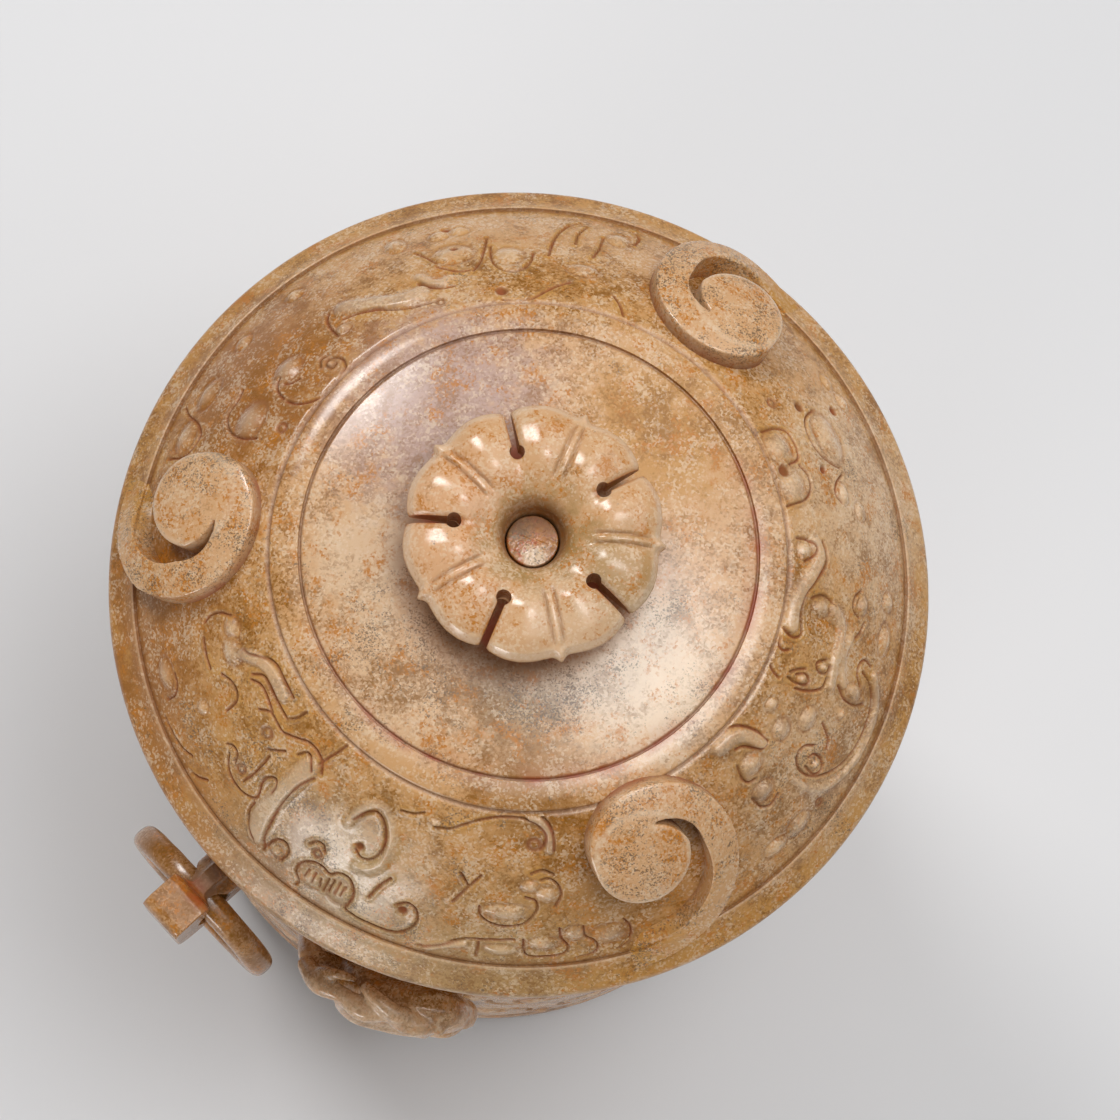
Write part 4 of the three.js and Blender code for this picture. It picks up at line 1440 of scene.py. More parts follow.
@dataclass
class FlowerFinial(Assembly):
    """The flower knob: ten puffed lobes in five petals, sawn apart and drilled, on a stem round a peg.

    Places on a petal are shares of the flower's radius, or millimetres from its midrib or saw cut. A pair is
    where something starts and ends, and a line is its place and width.
    """

    base: float = 95.3
    radius: float = 12.8
    spread: float = 1.02
    petals: int = 5
    petal_turn: float = 58.5
    stem_foot: float = 18.6
    bore: float = 2.8
    saw: float = 0.8
    saw_length: float = 8.0
    saw_low: float = 20.5
    saw_high: float = 31.0
    hole: float = 0.78
    lean: float = 0.45
    lean_turn: float = 82.0
    steps: int = 360
    edge_angle: float = 42.0
    peg_radius: float = 2.62
    peg_top: float = 23.7
    peg_foot: float = 17.0
    peg_rings: int = 20
    peg_steps: int = 120

    HOLE_CIRCLES = (8.1, 8.1, 7.6, 7.9, 8.1)
    HOLE_SIDES, SAW_HEIGHT, TOP_STEPS, UNDER_STEPS = 24, 0.98, 4, 3
    TOP = (
        (3.1, 24.5), (3.25, 25.1), (3.65, 25.65), (4.3, 26.15), (5.2, 26.6), (6.3, 26.95), (7.5, 27.15),
        (8.7, 27.15), (9.8, 26.95), (10.8, 26.65), (11.6, 26.3), (12.1, 26.05), (12.28, 25.9), (12.6, 25.5),
        (12.76, 25.22),
    )
    UNDER = (
        (12.8, 24.9), (12.7, 24.65), (12.4, 24.5), (11.5, 24.3), (10.2, 24.0), (8.9, 23.6), (7.6, 23.0),
        (6.6, 22.2), (6.0, 21.4), (5.8, 20.6), (5.9, 19.6),
    )
    STEM, BORE_HEIGHTS, BORE_LIP = 6.1, (21.0, 23.4), (2.95, 24.1)
    OUTLINE = (
        (0, 1.03), (1, 1.02), (2, 0.995), (4, 0.98), (8, 0.99), (13, 1.005), (19, 1.015), (25, 1.01),
        (30, 0.995), (33, 0.98), (35, 0.955), (36, 0.935),
    )

    TOP_SKIN, UNDER_SHARE = 0.45, 0.35
    LOBE = (17.0, 22.0)
    PUFF, PUFF_START, PUFF_END, PUFF_LOSS = 0.62, (0.36, 0.64), (0.85, 1.0), 0.5
    RIB, RIB_HALF, RIB_START, RIB_END = 0.2, 0.3, (0.44, 0.52), (0.84, 0.96)
    RIB_LINE, RIB_LINE_WIDTH, RIB_STAIN_WIDTH = 0.52, 0.15, 0.2
    NIB, NIB_HALF, NIB_START = 0.28, 0.4, (0.9, 1.0)
    DENT, DENT_START, DENT_SIDE = 0.3, (6.6, 8.4), (0.35, 0.9)
    SPREAD_START, LEAN_START = (0.6, 1.0), (0.3, 0.75)

    STAIN_START, STAIN_END = (5.6, 6.4), (11.0, 12.0)
    CUT_SIDE, CUT_START = (0.4, 0.55), (6.9, 7.3)
    WELL = (2.95, 4.4)
    # Darkening in the midrib lines is residue; the saw cuts carry painted shade and a painted orange glow;
    # the well is darkened towards the bore.
    LINE_DIRT, CUT_DIRT, WELL_DIRT, CUT_RUST = 0.45, 0.25, 0.7, 0.5
    # Where pale lines are painted as highlights along the petal rims and the lips of the saw cuts.
    RIM_START, RIM_LOW, RIM_HIGH = (0.9, 0.97), (25.0, 25.4), (26.2, 26.6)
    LIP_START, LIP_END, LIP_REACH, LIP_LOW, LIP_WEAR = (0.5, 0.6), (0.75, 0.95), (7.3, 8.0), (25.5, 26.0), 0.7

    PEG_CORNER = ((-0.12, -0.1), (-0.04, -0.14), (0.0, -0.25))
    PEG_FOOT = ((0.0, 0.4), (-0.4, 0.0))
    SAWN_DEPTH = 0.3
    SAWN = ((1.7, 0.04), (0.83, 0.045), (0.47, 0.04))
    # How dark the painted shadow on the peg's top is, and across which band it fades.
    PEG_DIRT, PEG_DIRT_SIDE = 0.8, (-0.5, 1.7)

    def profile(self) -> Profile:
        """Draws the turned profile before the petals are shaped.

        Returns:
            Points from the well over the petals and down the stem, then up the bore.
        """
        stem = [(self.STEM, self.stem_foot), (self.bore, self.stem_foot)]
        bore = [(self.bore, height) for height in self.BORE_HEIGHTS]
        petals = [*eased(self.TOP, self.TOP_STEPS), *eased(self.UNDER, self.UNDER_STEPS)]
        return lifted([*petals, *stem, *bore, self.BORE_LIP, self.TOP[0]], self.base)

    def off_midrib(self, places: np.ndarray) -> np.ndarray:
        """Returns how far each point is turned from the midrib of its petal, in degrees."""
        step = FULL_TURN / self.petals
        return np.abs((turns_of(places) - self.petal_turn + step / 2) % step - step / 2)

    def off_lines(self, places: np.ndarray) -> tuple[np.ndarray, np.ndarray]:
        """Measures how far points are from the lines of their petals.

        Args:
            places: Points in millimetres.

        Returns:
            Distances from the midrib and from the saw cut, in millimetres.
        """
        radii, side = radii_of(places), self.off_midrib(places)
        half = FULL_TURN / 2 / self.petals
        from_slot = np.clip(half - side, 0.0, half)
        return radii * np.radians(side), radii * np.sin(np.radians(from_slot))

    def shape(self, piece: Piece) -> None:
        """Presses the petals, lobes, midribs and rolled edges into the turned form.

        Args:
            piece: The turned flower.
        """
        places = points_of(piece)
        radii = radii_of(places)
        side = self.off_midrib(places)
        from_rib, from_slot = self.off_lines(places)
        share = radii / self.radius
        high = places[:, 2] - self.base
        is_top = high > np.interp(radii, *np.array(self.UNDER[::-1]).T) + self.TOP_SKIN
        lobe = np.cos(np.radians((side - self.LOBE[0]) * self.petals)) * bell(side, *self.LOBE)
        puff = self.PUFF * lobe * smoothstep(*self.PUFF_START, share)
        puff *= 1.0 - self.PUFF_LOSS * smoothstep(*self.PUFF_END, share)
        rib = self.RIB * np.exp(-((from_rib / self.RIB_HALF) ** 4))
        rib -= self.RIB * bell(from_rib, self.RIB_LINE, self.RIB_LINE_WIDTH)
        rib *= band(self.RIB_START, self.RIB_END, share)
        nib = self.NIB * bell(from_rib, 0.0, self.NIB_HALF) * smoothstep(*self.NIB_START, share)
        dent = -self.DENT * smoothstep(*self.DENT_START, radii) * falling(*self.DENT_SIDE, from_slot)
        places[:, 2] += np.where(is_top, puff + rib + nib + dent, self.UNDER_SHARE * (puff + dent))
        turns, scales = np.array(self.OUTLINE, float).T
        wide = np.interp(side, turns, scales) * self.spread - 1.0
        places[:, :2] *= (1.0 + wide * smoothstep(*self.SPREAD_START, share))[:, None]
        places[:, :2] += np.outer(smoothstep(*self.LEAN_START, share), polar(self.lean, self.lean_turn))
        set_points(piece, places)

    def cutters(self) -> Piece:
        """Makes the saw cuts and drilled holes between the petals.

        Returns:
            All of them as one tool.
        """
        parts = []
        low, high = (self.base + self.saw_low) * MM, (self.base + self.saw_high) * MM
        middle, tall = (low + high) / 2, high - low
        shift = Vector((*polar(self.lean * MM, self.lean_turn), middle))
        for k, circle in enumerate(self.HOLE_CIRCLES):
            turn = self.petal_turn + (k + 0.5) * FULL_TURN / self.petals
            radii = (circle, circle + self.saw_length / 2)
            hole, cut = (Vector((*polar(radius * MM, turn), 0)) + shift for radius in radii)
            bpy.ops.object.select_all(action="DESELECT")
            bpy.ops.mesh.primitive_cylinder_add(
                vertices=self.HOLE_SIDES, radius=self.hole * MM, depth=tall, location=hole
            )
            parts.append(bpy.context.object)
            bpy.ops.mesh.primitive_cube_add(size=1, location=cut, rotation=(0, 0, math.radians(turn)))
            parts.append(bpy.context.object)
            parts[-1].scale = (self.saw_length * MM, self.saw * MM, self.SAW_HEIGHT * tall)
        pick(*parts)
        bpy.ops.object.transform_apply()
        bpy.ops.object.join()
        return named("saw_cuts")

    def stain(self, piece: Piece) -> None:
        """Marks painted highlights on the petal rims and saw-cut lips, residue in the midrib lines, darkening
        round the well, and painted glow and shade on the saw-cut walls.

        Args:
            piece: The sawn flower.
        """
        places = points_of(piece)
        places[:, :2] -= polar(self.lean, self.lean_turn)
        radii, high = radii_of(places), places[:, 2] - self.base
        from_rib, from_slot = self.off_lines(places)
        line = bell(from_rib, self.RIB_LINE, self.RIB_STAIN_WIDTH)
        line *= band(self.STAIN_START, self.STAIN_END, radii)
        # Saw-cut walls: toned and rust paint an orange glow, as of light through the stone, and CUT_DIRT
        # paints a little shade.
        cut = falling(*self.CUT_SIDE, from_slot) * smoothstep(*self.CUT_START, radii)
        well = falling(*self.WELL, radii)
        dirt = np.maximum.reduce([self.LINE_DIRT * line, self.CUT_DIRT * cut, self.WELL_DIRT * well])
        # Painted highlights: pale lines along the petal rims and the lips of the saw cuts.
        rim = smoothstep(*self.RIM_START, radii / self.radius) * band(self.RIM_LOW, self.RIM_HIGH, high)
        lips = band(self.LIP_START, self.LIP_END, from_slot) * smoothstep(*self.LIP_REACH, radii)
        lips *= self.LIP_WEAR * smoothstep(*self.LIP_LOW, high)
        set_values(piece, recess=dirt, rust=self.CUT_RUST * cut, toned=cut, relief=np.maximum(rim, lips))

    def flower(self) -> None:
        """Makes the flower knob."""
        flower = turned("flower_knob", self.profile(), self.steps)
        self.shape(flower)
        cut_out(flower, self.cutters(), use_self=True)
        self.stain(flower)
        smoothed(flower, self.edge_angle)
        dressed(flower, self.finishes.flower, Body.LID, Slot.OCHRE, "flower_finial")

    def peg(self) -> None:
        """Makes the peg, with a rough sawn end."""
        top, foot = ((self.peg_radius, height + self.base) for height in (self.peg_top, self.peg_foot))
        (edge, level), *corner = steps_from(top, self.PEG_CORNER)
        profile = [(radius, level) for radius in np.linspace(0.0, edge, self.peg_rings)]
        profile += [*corner, *steps_from(foot, self.PEG_FOOT), (0.0, foot[1])]
        peg = turned("flower_peg", profile, self.peg_steps)
        places = points_of(peg)
        sawn = places[:, 2] > top[1] - self.SAWN_DEPTH
        places[sawn, 2] += sum(depth * wobble(places[sawn], length) for length, depth in self.SAWN)
        set_points(peg, places)
        # Painted shadow: the peg is darkened towards one side, as the shadow of the well's rim.
        dirty_side = places[:, :2] @ polar(1.0, self.lean_turn)
        set_values(peg, recess=self.PEG_DIRT * smoothstep(*self.PEG_DIRT_SIDE, dirty_side))
        dressed(peg, self.finishes.peg, Body.LID, Slot.GREY, "finial_peg")

    def build(self) -> None:
        """Makes the flower knob and its peg."""
        self.flower()
        self.peg()


@dataclass
class ScrollKnobs(Assembly):
    """Three spiral knobs that lean outwards on the frieze and run off into the rim.

    Places on a knob are in radii of its disc, or millimetres over the lid. A pair is where something starts
    and ends. One of the knobs is set further in.
    """

    disc: float = 5.05
    rise: float = 3.5
    root: float = 4.4
    tilt: float = 32.0
    circle: float = 33.516
    inset: float = 1.8
    turn: float = 42.5
    growth: float = 0.215
    spiral: float = 216.0
    spiral_step: float = 9.0
    doming: float = 9.0
    grain: float = 0.2

    RUN_OFF = (
        ((-1.2, 2.25), (0.3, 2.2)),
        ((1.3, 2.2), (2.1, 1.9)),
        ((0.6, 1.9), (-0.45, 1.64)),
        ((-1.55, 1.22), (-1.3, 0.2)),
        ((-1.25, -0.75), (-0.1, -0.68)),
        ((-0.8, -0.62), (-1.0, 0.0)),
    )
    RUN_STEPS, DISC_STEPS = 10, 25
    STRAP_START, STRAP_SIDE = (1.15, 1.45), (0.3, 1.0)
    SINK, SINK_START = 0.97, (-1.5, 0.9)
    DIP, DIP_START, DIP_OVER = 0.6, (0.1, 1.4), (-1.5, 0.0)
    FOOT_OVER, FRONT_LOSS, FRONT_START = (-0.3, 2.2), 0.6, (-0.2, 0.4)
    # Where a pale line is painted as a highlight along the disc's top edge.
    EDGE_START, EDGE_END, EDGE_OVER = (0.86, 0.97), (1.0, 1.08), (1.6, 2.6)
    FOOT_DIRT, FOOT_RUST, RUN_TONE, STRAP_TONE = 0.8, 0.6, 0.9, 0.25

    def outline(self, inset: float) -> Route:
        """Draws the spiral outline, with X outwards and Y round the lid.

        Args:
            inset: How far the knob is set in, in millimetres.

        Returns:
            Points in millimetres.
        """
        turns = np.radians(np.arange(0.0, self.spiral + 1, self.spiral_step))
        points = [np.exp(self.growth * t) * np.array([math.cos(t), -math.sin(t)]) for t in turns]
        reach = 1.0 + inset / (2.0 * self.disc)
        for control, end in self.RUN_OFF:
            further = [(x, y * reach if y > 1.0 else y) for x, y in (control, end)]
            points += bowed(points[-1], *further, self.RUN_STEPS)
        half_turn = np.linspace(0.0, math.pi, self.DISC_STEPS)[1:-1]
        points += [np.array([-math.cos(t), math.sin(t)]) for t in half_turn]
        return [(self.disc * y, -self.disc * x) for x, y in points]

    def knob(self, name: str, inset: float) -> Piece:
        """Makes one knob in the direction +X and runs its strap down into the rim.

        Args:
            name: Name of the piece.
            inset: How far it stands in from the knobs' circle, in millimetres.

        Returns:
            The knob.
        """
        knob = fused(name, [plate(name, self.outline(inset), -self.root, self.rise)], self.grain)
        places = points_of(knob)
        out, back = places[:, 0] / self.disc, places[:, 1] / self.disc
        from_axis = np.hypot(out, back)
        crown = self.rise - self.disc * from_axis**2 / self.doming
        up = places[:, 2] > 0
        places[up, 2] *= crown[up] / self.rise
        set_points(knob, places)
        lid = Lid(self.finishes)
        circle = self.circle - inset
        settled(knob, 0.0, self.tilt, (circle, 0, lid.top_height(np.array([circle]))[0]))
        places = points_of(knob)
        over = places[:, 2] - lid.top_height(radii_of(places))
        strap = smoothstep(*self.STRAP_START, from_axis) * smoothstep(*self.STRAP_SIDE, out)
        run_off = strap * smoothstep(*self.SINK_START, -back)
        dip = self.DIP * strap * smoothstep(*self.DIP_START, -back) * smoothstep(*self.DIP_OVER, over)
        places[:, 2] -= self.SINK * run_off * np.maximum(over, 0.0) + dip
        set_points(knob, places)
        # Low down where it meets the lid, the knob is darkened and carries rusty stain.
        foot = falling(*self.FOOT_OVER, over) * (1.0 - run_off)
        foot *= 1.0 - self.FRONT_LOSS * smoothstep(*self.FRONT_START, out)
        # Painted highlight: a pale line along the top edge of the disc.
        edge = band(self.EDGE_START, self.EDGE_END, from_axis) * (1.0 - run_off)
        edge *= smoothstep(*self.EDGE_OVER, over)
        toned = self.RUN_TONE * run_off + self.STRAP_TONE * strap
        set_values(knob, recess=self.FOOT_DIRT * foot, rust=self.FOOT_RUST * foot, relief=edge, toned=toned)
        return knob

    def build(self) -> None:
        """Makes two knobs alike and one set further in, and turns them to their places."""
        first = self.knob("scroll_1", 0.0)
        knobs = (first, copied(first, "scroll_2"), self.knob("scroll_3", self.inset))
        for k, knob in enumerate(knobs):
            settled(knob, self.turn + k * FULL_TURN / len(knobs))
            dressed(knob, self.finishes.scroll, Body.LID, Slot.OCHRE, f"scroll_knob_{k + 1}")


@dataclass
class RingHandle(Assembly):
    """The lug on the wall with its square block, and the loose ring that hangs in its eye.

    Places on the lug are millimetres from the wall or the eye. A pair is where something starts and ends.
    """

    wall: float = 40.0
    turn: float = 215.0
    eye_height: float = 85.0
    eye_reach: float = 6.8
    eye_radius: float = 2.23
    eye_wall: float = 1.1
    eye_sides: int = 48
    width: float = 4.8
    root: float = 1.5
    block: float = 4.4
    block_rise: float = 2.5
    block_back: float = 0.5
    block_in: float = 1.2
    corner: float = 1.0
    ring_radius: float = 9.0
    ring_bar: float = 1.6
    ring_steps: int = 144
    bar_steps: int = 40
    ground: float = 0.94
    squareness: float = 2.6
    wave: float = 0.04
    wave_length: float = 5.0
    grain: float = 0.2

    UNDER_WALLS, BEVEL, BOW_STEPS, FRONT_STEPS = 1.7, 0.3, 6, 8
    ROOT_LOW, ROOT_HIGH, FRONT_LOW, PULL_LOW, PULL_HIGH = 1.3, 1.6, 0.3, 0.5, 0.3
    BLOCK_START, BLOCK_SWELL = (6.6, 7.6), 0.1
    ARM_OVER, ARM_LOW, ARM_HIGH, ARM_START, ARM_PINCH = 0.4, 1.6, 0.5, (0.5, 2.5), 0.62
    # Painted shade on the arm and where it starts; darkening at the root by the wall.
    ARM_DIRT, ARM_DIRT_START, ROOT_DIRT, ROOT_EDGE = 0.7, (4.5, 7.0), 0.6, (0.0, 1.5)
    RUST_SHARE, RUST_START, RUST_END, RUST_LOW = 0.8, (5.0, 7.0), (7.6, 9.0), (2.0, 4.0)

    def outline(self) -> Profile:
        """Draws the lug's side view.

        Returns:
            Points of distance from the wall, and height from the eye.
        """
        over = self.eye_radius + self.eye_wall
        under = self.eye_radius + self.UNDER_WALLS * self.eye_wall
        reach, wall, corner, bevel = self.eye_reach, self.eye_wall, self.corner, self.BEVEL * self.corner
        back = reach + over
        front, top = back + self.block - wall - self.block_in, over + self.block_rise
        back -= self.block_in + self.block_back
        points: list[Point] = [(-self.root, -self.ROOT_LOW * under)]
        pull = (self.PULL_LOW * reach, -under)
        points += bowed(points[-1], pull, (reach + corner, -under), self.BOW_STEPS)
        points += bowed(points[-1], (front, -under), (front, -self.FRONT_LOW * under), self.FRONT_STEPS)
        points += [(front, top - corner), (front - bevel, top - bevel), (front - corner, top)]
        points += [(back + corner - wall, top), (back + bevel - wall, top - bevel)]
        points += [(back - wall, top - corner)]
        points += bowed(points[-1], (back - wall, over), (reach, over), self.BOW_STEPS)
        pull = (self.PULL_HIGH * reach, over)
        points += bowed(points[-1], pull, (-self.root, self.ROOT_HIGH * over), self.BOW_STEPS)
        return lifted(points)

    def lug(self) -> None:
        """Makes the lug."""
        blank = plate("lug", self.outline(), -self.width / 2, self.width / 2)
        bpy.ops.object.select_all(action="DESELECT")
        bpy.ops.mesh.primitive_cylinder_add(
            vertices=self.eye_sides,
            radius=self.eye_radius * MM,
            depth=3 * self.width * MM,
            location=(self.eye_reach * MM, 0, 0),
        )
        cut_out(blank, bpy.context.object)
        lug = fused("lug", [blank], self.grain)
        x, y, z = points_of(lug).T
        over = self.eye_radius + self.ARM_OVER
        block = smoothstep(*self.BLOCK_START, x)
        arm = smoothstep(over - self.ARM_LOW, over + self.ARM_HIGH, y) * (1.0 - block)
        arm *= smoothstep(*self.ARM_START, x)
        pinch = (1.0 - self.ARM_PINCH * arm) * (1.0 + self.BLOCK_SWELL * block)
        set_points(lug, np.column_stack([x + self.wall, -z * pinch, y + self.eye_height]))
        # Painted shade: the arm is darkened towards the block; the root is also darkened where it meets the
        # wall.
        dirt = self.ARM_DIRT * arm * smoothstep(*self.ARM_DIRT_START, x)
        dirt += self.ROOT_DIRT * falling(*self.ROOT_EDGE, x)
        rust = self.RUST_SHARE * band(self.RUST_START, self.RUST_END, x) * smoothstep(*self.RUST_LOW, y)
        set_values(lug, recess=dirt, rust=rust)
        welded(lug)
        settled(lug, self.turn)
        dressed(lug, self.finishes.dark, Body.CUP, Slot.DARK, "ring_lug")

    def ring(self) -> None:
        """Makes the ring, a bar whose sides are ground a little flat."""
        bpy.ops.object.select_all(action="DESELECT")
        bpy.ops.mesh.primitive_torus_add(
            major_segments=self.ring_steps,
            minor_segments=self.bar_steps,
            major_radius=self.ring_radius * MM,
            minor_radius=self.ring_bar * MM,
        )
        ring = named("hanging_loop")
        x, y, z = points_of(ring).T
        radii = np.hypot(x, y)
        off = radii - self.ring_radius
        turn, power = np.arctan2(z, off), self.squareness
        ground = self.ground / (np.abs(np.cos(turn)) ** power + np.abs(np.sin(turn)) ** power) ** (1 / power)
        new = self.ring_radius + off * ground
        places = np.column_stack([x / radii * new, z * ground, y / radii * new])
        places[:, 2] += self.eye_height - self.ring_radius
        places += self.wave * wobble(places, self.wave_length)[:, None]
        places = places[:, [1, 0, 2]]
        places[:, 0] += self.wall + self.eye_reach
        set_points(ring, places)
        welded(ring)
        smoothed(ring)
        settled(ring, self.turn)
        dressed(ring, self.finishes.dark, Body.RING, Slot.OCHRE, "hanging_ring")

    def build(self) -> None:
        """Makes the lug and the ring."""
        self.lug()
        self.ring()


@dataclass
class ClimbingDragon(Assembly):
    """The dragon in high relief on the wall.

    A stop of a route is its turn, depth under the mouth, distance off the wall and radius.
    """

    wall: float = 40.0
    mouth: float = 95.0
    turn: float = 243.0
    grain: float = 0.25

    BODY = (
        (-11, 74.7, 1.35, 1.05), (-13.5, 67.8, 1.5, 1.5), (-9, 60.9, 1.8, 2.0), (0, 55.8, 2.4, 3.0),
        (7, 48.9, 2.6, 2.9), (6, 39.9, 3.6, 2.6), (-2, 33.9, 4.5, 2.7), (-5, 27, 3.3, 3.15),
        (1, 21, 4.65, 2.5), (8, 20.4, 4.5, 2.8), (12.2, 23.6, 4.2, 1.75),
    )
    LEGS = (
        ((-5, 27.9, 3, 2.1), (-11, 24, 3.75, 1.55), (-13.5, 28.5, 1.5, 1.6)),
        ((-3, 28.8, 3, 2.1), (4.5, 30, 3.45, 1.5), (9.5, 33.3, 1.5, 1.6)),
        ((0, 55.2, 2.4, 2.25), (-7, 49.8, 3.45, 1.55), (-12, 52.5, 1.5, 1.6)),
        ((2, 55.8, 2.4, 2.25), (10, 57.9, 3.45, 1.55), (13, 63.9, 1.5, 1.6)),
    )
    TOES = (
        ((-2.4, 1.4), (-0.8, 3.0), (1.2, 2.9)),
        ((1.2, 2.9), (2.6, 1.6), (-0.6, 3.1)),
        ((-2.4, 1.4), (-0.8, 3.0), (1.2, 2.9)),
        ((1.6, 2.6), (-0.2, 3.1), (-1.8, 2.6)),
    )
    MANE_AND_CURLS = (
        ((-12, 22.5, 4.6, 1.0), (-8.5, 19.8, 6.0, 1.35), (-5, 18.6, 6.2, 1.0), (-1.5, 18.2, 6.8, 1.4),
         (2, 17.8, 6.4, 1.0), (5.5, 18.4, 6.8, 1.35), (9, 19.6, 5.8, 1.0), (12.5, 21.6, 4.4, 0.8)),
        ((6.5, 19.4, 6.0, 1.2), (3, 16.9, 6.2, 1.1), (-0.5, 16.4, 5.2, 0.9), (-2.5, 17.6, 4.4, 0.7)),
        ((6, 22.2, 5.8, 1.2), (3.4, 24.4, 6.2, 1.1), (1.2, 25.8, 5.4, 0.6)),
        ((8.5, 23.2, 4.0, 1.3), (12, 26.4, 3.6, 0.85)),
        ((12.4, 22.4, 5.4, 0.7), (13.6, 24.4, 5.0, 0.55)),
        ((-13, 69, 1.6, 1.2), (-8.6, 73.4, 1.6, 0.9), (-6, 71.6, 1.5, 0.7), (-7.4, 69.6, 1.4, 0.5)),
        ((-6, 26, 5.4, 0.7), (-9, 20.6, 5.0, 0.9), (-6.4, 17.6, 4.4, 0.6), (-4, 18.6, 4.0, 0.4)),
        ((-1, 53, 4.6, 0.8), (-4.6, 55.6, 4.2, 0.9), (-3.2, 58.6, 3.8, 0.6)),
    )
    EYES = ((9.2, 19.2, 6.6, 0.75), (9.0, 22.0, 6.4, 0.7))
    RIDGE_OFF, RIDGE_RADIUS = 0.92, 0.26
    TOE_ROOT, TOE_MIDDLE, TOE_ARCH, TOE_RADIUS, TOE_TIP = 0.8, 0.6, 0.2, 0.7, (0.7, 0.35)
    DIRT, DIRT_OFF, WEAR, WEAR_OFF = 0.9, (0.1, 1.6), 0.8, (4.0, 6.5)

    def stop(self, turn: float, depth: float, off: float) -> Place:
        """Returns the place of a stop of a route."""
        x, y = polar(self.wall + off, self.turn + turn)
        return x, y, self.mouth - depth

    def limb_on_wall(self, route: Route) -> Piece:
        """Makes one limb along a route."""
        return limb("limb", [(*self.stop(*stop[:3]), stop[3]) for stop in route])

    def build(self) -> None:
        """Makes the dragon."""
        parts = [self.limb_on_wall(route) for route in (self.BODY, *self.LEGS, *self.MANE_AND_CURLS)]
        ridge = [
            (turn, depth, off + self.RIDGE_OFF * radius, self.RIDGE_RADIUS * radius)
            for turn, depth, off, radius in self.BODY[:-2]
        ]
        parts.append(self.limb_on_wall(ridge))
        for leg, toes in zip(self.LEGS, self.TOES):
            turn, depth, off, size = leg[-1]
            for across, down in toes:
                tip = (turn + across, depth + down, *self.TOE_TIP)
                half_way = (turn + self.TOE_MIDDLE * across, depth + self.TOE_MIDDLE * down)
                middle = (*half_way, off + self.TOE_ARCH, self.TOE_RADIUS)
                parts.append(self.limb_on_wall(((turn, depth, off, self.TOE_ROOT * size), middle, tip)))
        for route in (*self.BODY[-1:], *self.EYES):
            parts.append(ball("bead", self.stop(*route[:3]), route[3]))
        dragon = fused("wall_dragon", parts, self.grain)
        off = radii_of(points_of(dragon)) - self.wall
        # The dragon is darkened close to the wall and paler where it stands furthest out.
        dirt, wear = self.DIRT * falling(*self.DIRT_OFF, off), self.WEAR * smoothstep(*self.WEAR_OFF, off)
        set_values(dragon, recess=dirt, relief=wear)
        dressed(dragon, self.finishes.wall, Body.CUP, Slot.BROWN, "climbing_dragon")


